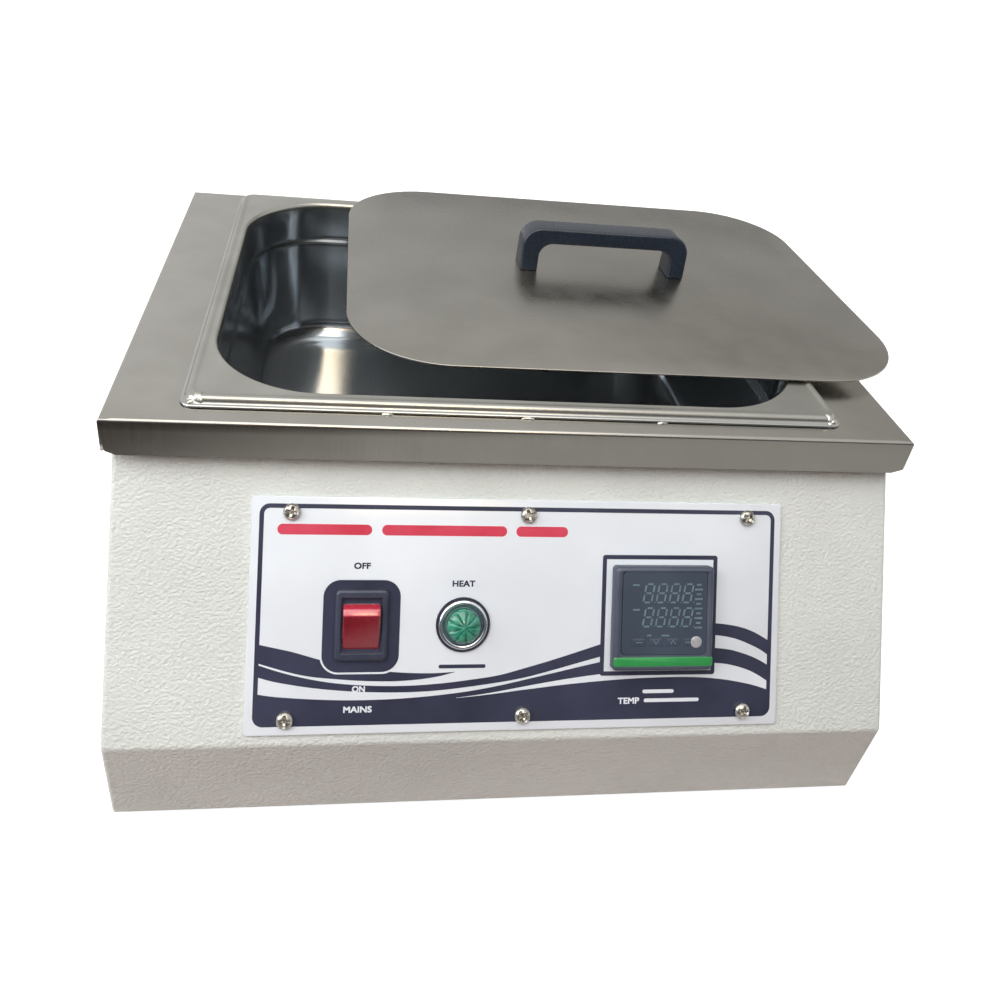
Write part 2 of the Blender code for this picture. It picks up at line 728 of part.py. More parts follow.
def make_rear_panel():
    wide = INSIDE_HALF - SEAT_GAP
    shape = box_mesh((-wide, wide), (REAR_FACE + SEAT_GAP, CABINET_REAR), (FOOT_HEIGHT, CABINET_TOP))
    panel = add_part("rear_panel", shape, "powder_coat")
    low = REAR_FACE - OVERRUN
    high = CABINET_REAR + OVERRUN
    across = centred(INLET_X, INLET_BODY_WIDTH + 2 * SEAT_GAP)
    tall = centred(INLET_Z, INLET_BODY_HEIGHT + 2 * SEAT_GAP)
    cut(panel, "inlet_opening", box_mesh(across, (low, high), tall))
    for number, (x, z) in enumerate(rear_screw_places(), 1):
        cut_rear_hole(panel, f"rear_panel_hole_{number}", x, z, PAN_HEAD_SHANK + SCREW_CLEARANCE)
    for side in (-1, 1):
        x = INLET_X + side * INLET_SCREW_SPACING / 2
        cut_rear_hole(panel, f"inlet_hole_{side}", x, INLET_Z, SMALL_SHANK + SCREW_CLEARANCE)
    for number in range(VENT_COUNT):
        z = INLET_Z + number * VENT_PITCH
        slot = box_mesh(centred(VENT_X, VENT_LENGTH), (low, high), centred(z, VENT_WIDTH))
        cut(panel, f"rear_vent_{number + 1}", slot)


def make_base_plate():
    wide = INSIDE_HALF - SEAT_GAP
    low = FOOT_HEIGHT - OVERRUN
    high = FOOT_HEIGHT + BASE_SHEET + OVERRUN
    shape = box_mesh((-wide, wide), (BASE_FRONT, REAR_FACE), (FOOT_HEIGHT, FOOT_HEIGHT + BASE_SHEET))
    base = add_part("base_plate", shape, "zinc")
    for number, (x, y) in enumerate(flange_screw_places() + foot_places(), 1):
        hole = cylinder_mesh(PAN_HEAD_SHANK + SCREW_CLEARANCE, low, high, x, y)
        cut(base, f"base_hole_{number}", hole)
    for number in range(VENT_COUNT):
        slot = box_mesh(
            centred(VENT_X, VENT_LENGTH), centred(number * VENT_PITCH, VENT_WIDTH), (low, high)
        )
        cut(base, f"base_vent_{number + 1}", slot)


def make_feet():
    for number, (x, y) in enumerate(foot_places(), 1):
        bore = PAN_HEAD_SHANK + SCREW_CLEARANCE
        wide = PAN_HEAD_RADIUS + SCREW_CLEARANCE
        top = FOOT_HEIGHT - SEAT_GAP
        profile = [
            (FOOT_TOP_RADIUS, top),
            (FOOT_RADIUS, 0),
            (wide, 0),
            (wide, FOOT_BORE_DEPTH),
            (bore, FOOT_BORE_DEPTH),
            (bore, top),
        ]
        turned_part(f"foot_{number}", profile, "rubber", location=(x, y, 0))
        add_screw(
            f"foot_screw_{number}",
            (x, y, FOOT_BORE_DEPTH),
            PAN_HEAD_RADIUS,
            PAN_HEAD_HEIGHT,
            PAN_HEAD_SHANK,
            PAN_HEAD_LENGTH,
            BATH_FRAME,
            (math.pi, 0, 0),
        )


def make_cabinet_screws():
    for number, (x, y) in enumerate(flange_screw_places(), 1):
        add_screw(
            f"base_screw_{number}",
            (x, y, FOOT_HEIGHT),
            PAN_HEAD_RADIUS,
            PAN_HEAD_HEIGHT,
            PAN_HEAD_SHANK,
            PAN_HEAD_LENGTH,
            BATH_FRAME,
            (math.pi, 0, 0),
        )
    for number, (x, z) in enumerate(rear_screw_places(), 1):
        add_screw(
            f"rear_screw_{number}",
            (x, CABINET_REAR, z),
            PAN_HEAD_RADIUS,
            PAN_HEAD_HEIGHT,
            PAN_HEAD_SHANK,
            PAN_HEAD_LENGTH,
            BATH_FRAME,
            (-math.pi / 2, 0, 0),
        )


def make_plate_nuts():
    top = CABINET_TOP - CABINET_SHEET - SEAT_GAP
    bore = STUD_RADIUS + SCREW_CLEARANCE
    low = top - NUT_HEIGHT
    profile = [(NUT_RADIUS, top), (NUT_RADIUS, low), (bore, low), (bore, top)]
    for number, (x, y) in enumerate(stud_places(), 1):
        turned_part(f"plate_nut_{number}", profile, "zinc", NUT_SIDES, location=(x, y, 0))


def make_label_plate():
    across = centred(LABEL_CENTRE_X, LABEL_WIDTH)
    tall = (-LABEL_DROP - LABEL_HEIGHT, -LABEL_DROP)
    shape = box_mesh(across, tall, (SEAT_GAP, SEAT_GAP + LABEL_SHEET))
    label = add_part("label_plate", shape, "label_white", FRONT_FRAME)
    cut_front_openings(label, "label", -OVERRUN, OVERRUN)
    for number, (x, y) in enumerate(label_screw_places(), 1):
        add_screw(
            f"label_screw_{number}",
            (x, y, SEAT_GAP + LABEL_SHEET),
            PAN_HEAD_RADIUS,
            PAN_HEAD_HEIGHT,
            PAN_HEAD_SHANK,
            PAN_HEAD_LENGTH,
            FRONT_FRAME,
        )


def make_switch():
    """A bezel on the front plate, a box behind it, and a pocket that the rocker turns in."""
    place = {"parent": FRONT_FRAME, "location": (SWITCH_X, -SWITCH_DROP, 0)}
    pocket_width = ROCKER_WIDTH + 2 * ROCKER_CLEARANCE
    pocket_height = 2 * (ROCKER_RADIUS + ROCKER_CLEARANCE)
    face = PANEL_SEAT + SWITCH_BEZEL
    bezel = box_mesh(centred(0, SWITCH_WIDTH), centred(0, SWITCH_HEIGHT), (PANEL_SEAT, face))
    housing = add_part("switch_housing", bezel, "black_plastic", **place)
    body = box_mesh(
        centred(0, pocket_width + 2 * SWITCH_WALL),
        centred(0, pocket_height + 2 * SWITCH_WALL),
        (-SWITCH_DEPTH, PANEL_SEAT + SWITCH_BEZEL / 2),
    )
    join(housing, "switch_body", body, **place)
    floor = ROCKER_PIVOT_HEIGHT - ROCKER_RADIUS
    pocket = box_mesh(centred(0, pocket_width), centred(0, pocket_height), (floor, face + OVERRUN))
    cut(housing, "switch_pocket", pocket, **place)
    along = Matrix.Translation((0, 0, ROCKER_PIVOT_HEIGHT)) @ Matrix.Rotation(math.pi / 2, 4, "Y")
    reach = ROCKER_WIDTH / 2 + PIVOT_PIN_LENGTH
    bore_reach = reach + ROCKER_CLEARANCE
    bore_radius = PIVOT_PIN_RADIUS + ROCKER_CLEARANCE
    bore = cylinder_mesh(bore_radius, -bore_reach, bore_reach, steps=SMALL_STEPS, turn=along)
    cut(housing, "pivot_bore", bore, **place)
    make_rocker(reach)


def rocker_outline():
    """The rocker from the side, level, about its pivot: round ends, a waisted top and a keel."""
    corner = ROCKER_CORNER_ANGLE
    foot = -ROCKER_FOOT_ANGLE
    upper = arc((0, 0), ROCKER_RADIUS, foot, corner, ROCKER_STEPS)
    lower = arc((0, 0), ROCKER_RADIUS, math.pi - corner, math.pi - foot, ROCKER_STEPS)
    keel = ROCKER_KEEL
    return upper + [(0, ROCKER_WAIST)] + lower + [(-keel, -keel), (keel, -keel)]


def make_rocker(reach):
    place = {
        "parent": FRONT_FRAME,
        "location": (SWITCH_X, -SWITCH_DROP, ROCKER_PIVOT_HEIGHT),
        "rotation": (ROCKER_TILT, 0, 0),
    }
    half = ROCKER_WIDTH / 2
    body = prism_mesh(rocker_outline(), -half, half, side_turn())
    rocker = add_part("switch_rocker", body, "red_rocker", **place)
    along = Matrix.Rotation(math.pi / 2, 4, "Y")
    pins = cylinder_mesh(PIVOT_PIN_RADIUS, -reach, reach, steps=SMALL_STEPS, turn=along)
    join(rocker, "pivot_pins", pins, **place)


def make_lamp():
    """A ringed flange on the front plate with a barrel through it, a lens in its mouth, a nut behind."""
    place = {"parent": FRONT_FRAME, "location": (LAMP_X, -LAMP_DROP, 0)}
    seat = LENS_RADIUS + SEAT_GAP
    face = PANEL_SEAT + LAMP_FLANGE
    profile = [
        (LAMP_RING_INNER, face),
        (LAMP_RING_RADIUS, face),
        (LAMP_RADIUS, PANEL_SEAT + LAMP_FLANGE / 2),
        (LAMP_RADIUS, PANEL_SEAT),
        (LAMP_BARREL_RADIUS, PANEL_SEAT),
        (LAMP_BARREL_RADIUS, -LAMP_BARREL_LENGTH),
        (0, -LAMP_BARREL_LENGTH),
    ]
    bottom = -LENS_SEAT_DEPTH
    inner = [(0, bottom), (seat, bottom), (seat, PANEL_SEAT)]
    turned_part("indicator_bezel", inner + profile, "chrome", FINE_STEPS, **place)
    proud = face + LENS_PROUD
    lens = [
        (0, proud),
        (LENS_RADIUS * LENS_CROWN_SHARE, proud - LENS_DOME),
        (LENS_RADIUS, proud - LENS_BEVEL),
        (LENS_RADIUS, bottom + SEAT_GAP),
        (0, bottom + SEAT_GAP),
    ]
    turned_part("indicator_lens", lens, "green_lens", LENS_STEPS, **place)
    high = -CABINET_SHEET - SEAT_GAP
    low = high - LAMP_NUT_HEIGHT
    bore = LAMP_BARREL_RADIUS + SEAT_GAP
    nut = [(LAMP_NUT_RADIUS, high), (LAMP_NUT_RADIUS, low), (bore, low), (bore, high)]
    turned_part("indicator_nut", nut, "black_plastic", FINE_STEPS, **place)


def key_places():
    """The four keys' middles, left to right along the controller's lower edge."""
    names = ("set", "down", "up", "mode")
    first = KEY_ROW_SHIFT - KEY_PITCH * (len(names) - 1) / 2
    return [(name, first + number * KEY_PITCH) for number, name in enumerate(names)]


def make_controller():
    place = {"parent": FRONT_FRAME, "location": (CONTROLLER_X, -CONTROLLER_DROP, 0)}
    face = CONTROLLER_FACE
    square = centred(0, CONTROLLER_SIZE)
    bezel = box_mesh(square, square, (PANEL_SEAT, face))
    case = add_part("controller_case", bezel, "slate_plastic", **place)
    across = centred(0, CONTROLLER_BODY)
    body = box_mesh(across, across, (-CONTROLLER_DEPTH, PANEL_SEAT + OVERRUN))
    join(case, "controller_body", body, **place)
    gap = SEAT_GAP
    window_x = centred(0, WINDOW_WIDTH)
    window_y = centred(WINDOW_CENTRE_Y, WINDOW_HEIGHT)
    window_face = face - WINDOW_INSET
    window_back = window_face - WINDOW_THICKNESS
    pocket = box_mesh(
        (window_x[0] - gap, window_x[1] + gap),
        (window_y[0] - gap, window_y[1] + gap),
        (window_back - gap, face + OVERRUN),
    )
    cut(case, "window_pocket", pocket, **place)
    strip_y = centred(STRIP_CENTRE_Y, STRIP_HEIGHT)
    groove = box_mesh(
        (square[0] - OVERRUN, square[1] + OVERRUN),
        (strip_y[0] - gap, strip_y[1] + gap),
        (face - STRIP_THICKNESS - gap, face + OVERRUN),
    )
    cut(case, "strip_groove", groove, **place)
    strip = box_mesh(square, strip_y, (face - STRIP_THICKNESS, face))
    add_part("controller_strip", strip, "green_strip", **place)
    window = box_mesh(window_x, window_y, (window_back, window_face))
    window = add_part("controller_window", window, "window", **place)
    key_top = window_face + KEY_PROUD
    key_bottom = window_back - gap
    well = key_bottom - KEY_TRAVEL - gap
    for name, x in key_places():
        hole_x = centred(x, KEY_WIDTH + 2 * KEY_CLEARANCE)
        hole_y = centred(KEY_CENTRE_Y, KEY_HEIGHT + 2 * KEY_CLEARANCE)
        hole = box_mesh(hole_x, hole_y, (window_back - gap, face + OVERRUN))
        cut(window, f"{name}_key_hole", hole, **place)
        cut(case, f"{name}_key_well", box_mesh(hole_x, hole_y, (well, face + OVERRUN)), **place)
        middle = (key_top + key_bottom) / 2
        thick = centred(0, key_top - key_bottom)
        key = box_mesh(centred(0, KEY_WIDTH), centred(0, KEY_HEIGHT), thick)
        spot = (CONTROLLER_X + x, -CONTROLLER_DROP + KEY_CENTRE_Y, middle)
        add_part(f"controller_key_{name}", key, "slate_plastic", FRONT_FRAME, spot)
    make_controller_clamp(place)


def make_controller_clamp(place):
    """A collar round the controller's body that draws it against the cabinet from behind."""
    high = -CABINET_SHEET - SEAT_GAP
    low = high - CLAMP_LENGTH
    bore = CONTROLLER_BODY + 2 * SEAT_GAP
    outer = centred(0, bore + 2 * CLAMP_WALL)
    collar = box_mesh(outer, outer, (low, high))
    clamp = add_part("controller_clamp", collar, "black_plastic", **place)
    inner = centred(0, bore)
    cut(clamp, "clamp_bore", box_mesh(inner, inner, (low - OVERRUN, high + OVERRUN)), **place)


def make_heating():
    """Heater mat and insulation under the pan's floor, with a cut-out and a probe beside them."""
    corners = rounded_rectangle(HEATER_WIDTH, HEATER_DEPTH, HEATER_CORNER, HEATER_CORNER_STEPS)
    outline = [(x + HEATER_SHIFT, y) for x, y in corners]
    high = PAN_UNDERSIDE - SEAT_GAP
    low = high - HEATER_THICKNESS
    add_part("heater_mat", prism_mesh(outline, low, high), "silicone")
    pad_high = low - SEAT_GAP
    add_part(
        "insulation_pad", prism_mesh(outline, pad_high - INSULATION_THICKNESS, pad_high), "insulation"
    )
    edge = HEATER_SHIFT + HEATER_WIDTH / 2
    x = edge + CUTOUT_EDGE_GAP
    cutout = cylinder_mesh(CUTOUT_RADIUS, high - CUTOUT_HEIGHT, high, x)
    add_part("thermal_cutout", cutout, "black_plastic")
    turn = Matrix.Rotation(math.pi / 2, 4, "X")
    half = PROBE_LENGTH / 2
    probe = cylinder_mesh(PROBE_RADIUS, -half, half, steps=SMALL_STEPS, turn=turn)
    spot = (edge + PROBE_EDGE_GAP, 0, high - PROBE_RADIUS)
    add_part("sensor_probe", probe, "chrome", location=spot)


def make_terminal_block():
    floor = FOOT_HEIGHT + BASE_SHEET + SEAT_GAP
    block = box_mesh(
        centred(TERMINAL_X, TERMINAL_LENGTH),
        centred(TERMINAL_Y, TERMINAL_WIDTH),
        (floor, floor + TERMINAL_HEIGHT),
    )
    add_part("terminal_block", block, "black_plastic")


def make_power_inlet():
    """A flanged inlet for a detachable mains lead, with three flat pins in its socket."""
    place = {"location": (INLET_X, CABINET_REAR, INLET_Z)}
    low = SEAT_GAP
    high = SEAT_GAP + INLET_FLANGE
    flange = box_mesh(centred(0, INLET_FLANGE_WIDTH), (low, high), centred(0, INLET_FLANGE_HEIGHT))
    inlet = add_part("power_inlet", flange, "black_plastic", **place)
    body = box_mesh(
        centred(0, INLET_BODY_WIDTH), (-INLET_BODY_DEPTH, high / 2), centred(0, INLET_BODY_HEIGHT)
    )
    join(inlet, "inlet_body", body, **place)
    floor = high - INLET_SOCKET_DEPTH
    socket = box_mesh(
        centred(0, INLET_SOCKET_WIDTH), (floor, high + OVERRUN), centred(0, INLET_SOCKET_HEIGHT)
    )
    cut(inlet, "inlet_socket", socket, **place)
    pins = ((-1, INLET_PIN_DROP), (0, INLET_EARTH_DROP), (1, INLET_PIN_DROP))
    for number, (side, drop) in enumerate(pins, 1):
        pin = box_mesh(
            centred(side * INLET_PIN_SPACING, INLET_PIN_THICKNESS),
            (floor - INLET_PIN_THICKNESS, floor + INLET_PIN_LENGTH),
            centred(-drop, INLET_PIN_WIDTH),
        )
        join(inlet, f"inlet_pin_{number}", pin, **place)
    for number, side in enumerate((-1, 1), 1):
        x = side * INLET_SCREW_SPACING / 2
        turn = Matrix.Rotation(-math.pi / 2, 4, "X")
        radius = SMALL_SHANK + SCREW_CLEARANCE
        hole = cylinder_mesh(radius, -OVERRUN, high + OVERRUN, x, steps=SMALL_STEPS, turn=turn)
        cut(inlet, f"inlet_screw_hole_{number}", hole, **place)
        add_screw(
            f"inlet_screw_{number}",
            (INLET_X + x, CABINET_REAR + high, INLET_Z),
            SMALL_HEAD_RADIUS,
            SMALL_HEAD_HEIGHT,
            SMALL_SHANK,
            SMALL_LENGTH,
            BATH_FRAME,
            (-math.pi / 2, 0, 0),
        )


def handle_outline():
    """The bridge handle from the front: rounded shoulders outside, rounded corners inside."""
    half = HANDLE_LENGTH / 2
    inner = half - HANDLE_LEG
    roof = HANDLE_HEIGHT - HANDLE_BAR
    outer_r = HANDLE_OUTER_RADIUS
    inner_r = HANDLE_INNER_RADIUS
    quarter = math.pi / 2
    points = [(half, 0)]
    high = HANDLE_HEIGHT - outer_r
    low = roof - inner_r
    points += arc((half - outer_r, high), outer_r, 0, quarter, HANDLE_OUTER_STEPS)
    points += arc((outer_r - half, high), outer_r, quarter, 2 * quarter, HANDLE_OUTER_STEPS)
    points += [(-half, 0), (-inner, 0)]
    points += arc((inner_r - inner, low), inner_r, 2 * quarter, quarter, HANDLE_INNER_STEPS)
    points += arc((inner - inner_r, low), inner_r, quarter, 0, HANDLE_INNER_STEPS)
    points.append((inner, 0))
    return points


def handle_mesh():
    """The outline made solid across the handle, which narrows evenly from its feet to its bar."""
    half = HANDLE_FOOT_WIDTH / 2
    mesh = prism_mesh(handle_outline(), -half, half, Matrix.Rotation(math.pi / 2, 4, "X"))
    narrowing = 1 - HANDLE_WIDTH / HANDLE_FOOT_WIDTH
    for vertex in mesh.vertices:
        vertex.co.y *= 1 - narrowing * vertex.co.z / HANDLE_HEIGHT
    return mesh


def make_lid():
    outline = rounded_rectangle(LID_WIDTH, LID_DEPTH, LID_CORNER, LID_CORNER_STEPS)
    lid = add_part("lid_sheet", prism_mesh(outline, 0, LID_SHEET), "stainless", LID_FRAME)
    stand = LID_SHEET + SEAT_GAP
    handle = add_part(
        "lid_handle",
        handle_mesh(),
        "black_plastic",
        LID_FRAME,
        (HANDLE_OFFSET_X, HANDLE_OFFSET_Y, stand),
    )
    reach = (HANDLE_LENGTH - HANDLE_LEG) / 2
    radius = SMALL_SHANK + SCREW_CLEARANCE
    for number, side in enumerate((-1, 1), 1):
        x = HANDLE_OFFSET_X + side * reach
        deep = LID_SCREW_LENGTH + SEAT_GAP
        hole = {"parent": LID_FRAME, "location": (x, HANDLE_OFFSET_Y, 0)}
        cut(lid, f"lid_hole_{number}", cylinder_mesh(radius, -OVERRUN, OVERRUN), **hole)
        cut(handle, f"handle_hole_{number}", cylinder_mesh(radius, -OVERRUN, deep), **hole)
        add_screw(
            f"lid_screw_{number}",
            (x, HANDLE_OFFSET_Y, 0),
            SMALL_HEAD_RADIUS,
            SMALL_HEAD_HEIGHT,
            SMALL_SHANK,
            LID_SCREW_LENGTH,
            LID_FRAME,
            (math.pi, 0, 0),
        )


def smooth_round_pieces():
    for obj in PARTS.objects:
        if obj.type == "MESH":
            obj.data.shade_smooth()
            obj.data.set_sharp_from_angle(angle=SHARP_ANGLE)


make_top_plate()
make_bath_pan()
make_cabinet_shell()
make_rear_panel()
make_base_plate()
make_feet()
make_cabinet_screws()
make_plate_nuts()
make_label_plate()
make_switch()
make_lamp()
make_controller()
make_heating()
make_terminal_block()
make_power_inlet()
make_lid()
smooth_round_pieces()
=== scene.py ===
import math

import bmesh
import bpy
import numpy as np
from mathutils import Matrix, Vector


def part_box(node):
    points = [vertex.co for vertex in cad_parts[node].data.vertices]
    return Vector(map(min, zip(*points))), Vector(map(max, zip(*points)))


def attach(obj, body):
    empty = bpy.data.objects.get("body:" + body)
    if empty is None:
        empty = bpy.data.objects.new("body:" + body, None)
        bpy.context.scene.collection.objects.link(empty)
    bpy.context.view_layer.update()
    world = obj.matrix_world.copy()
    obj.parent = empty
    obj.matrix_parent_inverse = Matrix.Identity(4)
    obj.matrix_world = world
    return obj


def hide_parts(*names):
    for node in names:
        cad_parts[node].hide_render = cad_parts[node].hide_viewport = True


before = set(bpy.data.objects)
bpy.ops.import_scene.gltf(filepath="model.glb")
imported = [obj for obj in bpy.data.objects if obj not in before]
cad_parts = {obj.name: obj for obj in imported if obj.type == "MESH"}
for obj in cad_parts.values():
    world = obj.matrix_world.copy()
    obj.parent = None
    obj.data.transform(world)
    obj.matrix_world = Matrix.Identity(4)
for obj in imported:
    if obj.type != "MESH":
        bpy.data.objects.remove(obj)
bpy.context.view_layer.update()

# Cabinet shell
# One sheet of mild steel folded over two bends in front and round both sides, then sprayed with an
# off-white leather-grain powder coat. Openings for the instruments are punched before it is folded.
MIDDLE_X = -0.01515
FACE_TOP_Y = -0.106804
FACE_TOP_Z = 0.17618
FRONT_SLANT = math.radians(32.7)
SHELL_HALF = 0.193
SHELL_REAR = 0.165396
SHELL_TOP = 0.19378
SHELL_BOTTOM = 0.008
SHELL_SHEET = 0.0012
SHELL_SIDE_BEND = 0.0022
SHELL_TOP_BEND = 0.004
SHELL_NOSE_BEND = 0.0045
NOSE_DROP = 0.1402
KICK_INSET = 0.003
UPRIGHT_RISE = 0.0035
SWITCH_X = -0.0773
SWITCH_DROP = 0.0838
LAMP_X = -0.0288
LAMP_DROP = 0.0838
CONTROLLER_X = 0.0706
CONTROLLER_DROP = 0.0802
SWITCH_HOLE = (0.0113, 0.01445)
LAMP_HOLE = (0.0093, 0.0093)
CONTROLLER_HOLE = (0.0226, 0.0226)


def on_front(points):
    """Points given across, up the slope and out of it, carried to the cabinet's slanted front.

    Up the slope adds its sine to y and its cosine to z; out of it takes its cosine from y and
    adds its sine to z.
    """
    across, up, out = np.moveaxis(np.asarray(points, float), -1, 0)
    y = FACE_TOP_Y + up * math.sin(FRONT_SLANT) - out * math.cos(FRONT_SLANT)
    z = FACE_TOP_Z + up * math.cos(FRONT_SLANT) + out * math.sin(FRONT_SLANT)
    return np.stack((MIDDLE_X + across, y, z), -1)


def bent_line(corners, radii, steps=8):
    """A line through corners whose inner ones are arcs, each of its own radius.

    An arc starts and ends at the radius over the tangent of half the corner's angle, and its
    points are the two end spokes mixed by the sines of the shares of the turn.
    """
    corners = [np.asarray(corner, float) for corner in corners]
    line = [corners[0][None]]
    for before, corner, after, radius in zip(corners, corners[1:], corners[2:], radii):
        back = (before - corner) / np.linalg.norm(before - corner)
        on = (after - corner) / np.linalg.norm(after - corner)
        half = math.acos(np.clip(back @ on, -1, 1)) / 2
        middle = corner + (back + on) / np.linalg.norm(back + on) * radius / math.sin(half)
        first = corner + back * radius / math.tan(half) - middle
        last = corner + on * radius / math.tan(half) - middle
        turn = math.pi - 2 * half
        share = np.linspace(0, 1, steps + 1)[:, None]
        arc = np.sin((1 - share) * turn) * first + np.sin(share * turn) * last
        line.append(middle + arc / math.sin(turn))
    line.append(corners[-1][None])
    return np.vstack(line)


def band(rows, looped=True, keep=None):
    """A patch of four-sided faces that join each row of points to the next one."""
    rows = np.asarray(rows, float)
    index = np.arange(rows.shape[0] * rows.shape[1]).reshape(rows.shape[:2])
    near, far = index[:-1], index[1:]
    if looped:
        corners = (near, np.roll(near, -1, 1), np.roll(far, -1, 1), far)
    else:
        corners = (near[:, :-1], near[:, 1:], far[:, 1:], far[:, :-1])
    faces = np.stack(corners, -1)
    faces = faces.reshape(-1, 4) if keep is None else faces[keep]
    return rows.reshape(-1, 3), faces


def cap(row):
    """A patch of one face that fills a loop of points."""
    return np.asarray(row, float), np.arange(len(row))[None]


def closed(rows):
    """The patches of a closed body: bands between looped rows, and a cap at either end."""
    return [band(rows), cap(rows[0]), cap(rows[-1])]


def settle(piece, finish, slot, body, *nodes):
    """Gives a piece its finish, the body that carries it and the solids that it stands for."""
    piece.data.materials.append(finish)
    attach(piece, body)
    if nodes:
        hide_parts(*nodes)


def add_piece(name, patches, finish, slot, body, *nodes, sharp=30, facing=None, sheet=None):
    """One object from patches of points and faces, welded where they meet and turned outwards.

    An open skin is turned so that the sum of its faces' normals times their areas points along
    facing, and its sheet gets a thickness behind those faces. Its rim stays crisp, as do folds
    sharper than an angle.
    """
    starts = np.cumsum([0] + [len(points) for points, _ in patches])
    points = np.vstack([points for points, _ in patches])
    faces = [face for start, (_, group) in zip(starts, patches) for face in (group + start).tolist()]
    mesh = bpy.data.meshes.new(name)
    mesh.from_pydata(points.tolist(), [], faces)
    shape = bmesh.new()
    shape.from_mesh(mesh)
    bmesh.ops.remove_doubles(shape, verts=shape.verts, dist=1e-7)
    bmesh.ops.recalc_face_normals(shape, faces=shape.faces)
    if facing is not None:
        total = sum((face.normal * face.calc_area() for face in shape.faces), Vector())
        if total.dot(Vector(facing)) < 0:
            bmesh.ops.reverse_faces(shape, faces=shape.faces)
    shape.to_mesh(mesh)
    shape.free()
    mesh.shade_smooth()
    mesh.set_sharp_from_angle(angle=math.radians(sharp))
    corner_edges = np.empty(len(mesh.loops), np.int32)
    mesh.loops.foreach_get("edge_index", corner_edges)
    rim = np.bincount(corner_edges, minlength=len(mesh.edges)) == 1
    folded = np.zeros(len(mesh.edges), bool)
    marks = mesh.attributes.get("sharp_edge") or mesh.attributes.new("sharp_edge", "BOOLEAN", "EDGE")
    marks.data.foreach_get("value", folded)
    marks.data.foreach_set("value", folded | rim)
    piece = bpy.data.objects.new(name, mesh)
    bpy.context.scene.collection.objects.link(piece)
    if sheet:
        wall = piece.modifiers.new("sheet", "SOLIDIFY")
        wall.thickness = sheet
        wall.offset = -1
        wall.use_even_offset = True
    settle(piece, finish, slot, body, *nodes)


def tint(red, green, blue):
    """A colour as the eye reads it, as the linear values that a shader takes."""
    seen = np.array((red, green, blue))
    linear = np.where(seen <= 0.04045, seen / 12.92, ((seen + 0.055) / 1.055) ** 2.4)
    return (*linear.tolist(), 1)


def add_node(finish, kind, inputs, out=0, operation=None):
    """One output of a new shader node, whose inputs are linked to a socket or set to a value."""
    tree = finish.node_tree
    node = tree.nodes.new("ShaderNode" + kind)
    if operation:
        node.operation = operation
    for name, value in inputs.items():
        if isinstance(value, bpy.types.NodeSocket):
            tree.links.new(value, node.inputs[name])
        else:
            node.inputs[name].default_value = value
    return node.outputs[out]


def feed(finish, name, source):
    """Links a source to one of the shader's own sockets."""
    finish.node_tree.links.new(source, finish.node_tree.nodes["Principled BSDF"].inputs[name])


def fed_by(finish, name):
    """The links to one of the shader's own sockets."""
    return finish.node_tree.nodes["Principled BSDF"].inputs[name].links


def cloudy(finish, size, detail=3.0, distortion=0.0, stretch=(1, 1, 1), turn=(0, 0, 0)):
    """Cloudy noise on the object's own coordinates. Size is about the length of one blot."""
    place = add_node(finish, "TexCoord", {}, "Object")
    scale = [1 / (size * length) for length in stretch]
    place = add_node(finish, "Mapping", {"Vector": place, "Scale": scale, "Rotation": turn})
    inputs = {"Vector": place, "Scale": 1, "Detail": detail, "Distortion": distortion}
    return add_node(finish, "TexNoise", inputs, "Fac")


def vary(finish, pattern, name, low, high, start=0.35, end=0.65):
    """Runs one of the shader's sockets from low to high as a pattern goes from start to end."""
    if isinstance(low, tuple):
        source = add_node(finish, "ValToRGB", {"Fac": pattern})
        for element, place, colour in zip(source.node.color_ramp.elements, (start, end), (low, high)):
            element.position = place
            element.color = colour
    else:
        inputs = {"Value": pattern, "From Min": start, "From Max": end, "To Min": low, "To Max": high}
        source = add_node(finish, "MapRange", inputs)
    feed(finish, name, source)


def emboss(finish, pattern, depth, strength=1.0):
    """Raises a pattern over the surface, on top of any that is there already."""
    inputs = {"Height": pattern, "Distance": depth, "Strength": strength}
    for link in fed_by(finish, "Normal"):
        inputs["Normal"] = link.from_socket
    feed(finish, "Normal", add_node(finish, "Bump", inputs))


def slide(finish, along, start, end):
    """A pattern that goes from nought to one along a direction, between two heights along it.

    The height is the dot product of the place with the direction.
    """
    place = add_node(finish, "TexCoord", {}, "Object")
    height = add_node(finish, "VectorMath", {0: place, 1: along}, "Value", "DOT_PRODUCT")
    return add_node(finish, "MapRange", {"Value": height, "From Min": start, "From Max": end})


def overlay(finish, pattern, colour):
    """Puts an even colour in place of the base colour wherever a pattern is nought."""
    under = fed_by(finish, "Base Color")[0].from_socket
    inputs = {"Fac": pattern, "Color1": colour, "Color2": under}
    feed(finish, "Base Color", add_node(finish, "MixRGB", inputs))


def new_finish(name, blot=None, low=None, high=None, rough=None, **sockets):
    """A material whose even values stand on the shader's own sockets.

    Its base colour drifts from a low to a high tint in clouds about one blot long. Rough gives
    the blot, the low value and the high value of its roughness.
    """
    finish = bpy.data.materials.new(name)
    finish.use_nodes = True
    shader = finish.node_tree.nodes["Principled BSDF"]
    for socket, value in sockets.items():
        shader.inputs[socket.replace("_", " ").title().replace("Ior", "IOR")].default_value = value
    if blot:
        vary(finish, cloudy(finish, blot), "Base Color", tint(*low), tint(*high))
    if rough:
        vary(finish, cloudy(finish, rough[0]), "Roughness", *rough[1:])
    return finish


HOLES = (
    (SWITCH_X, SWITCH_DROP, SWITCH_HOLE),
    (LAMP_X, LAMP_DROP, LAMP_HOLE),
    (CONTROLLER_X, CONTROLLER_DROP, CONTROLLER_HOLE),
)


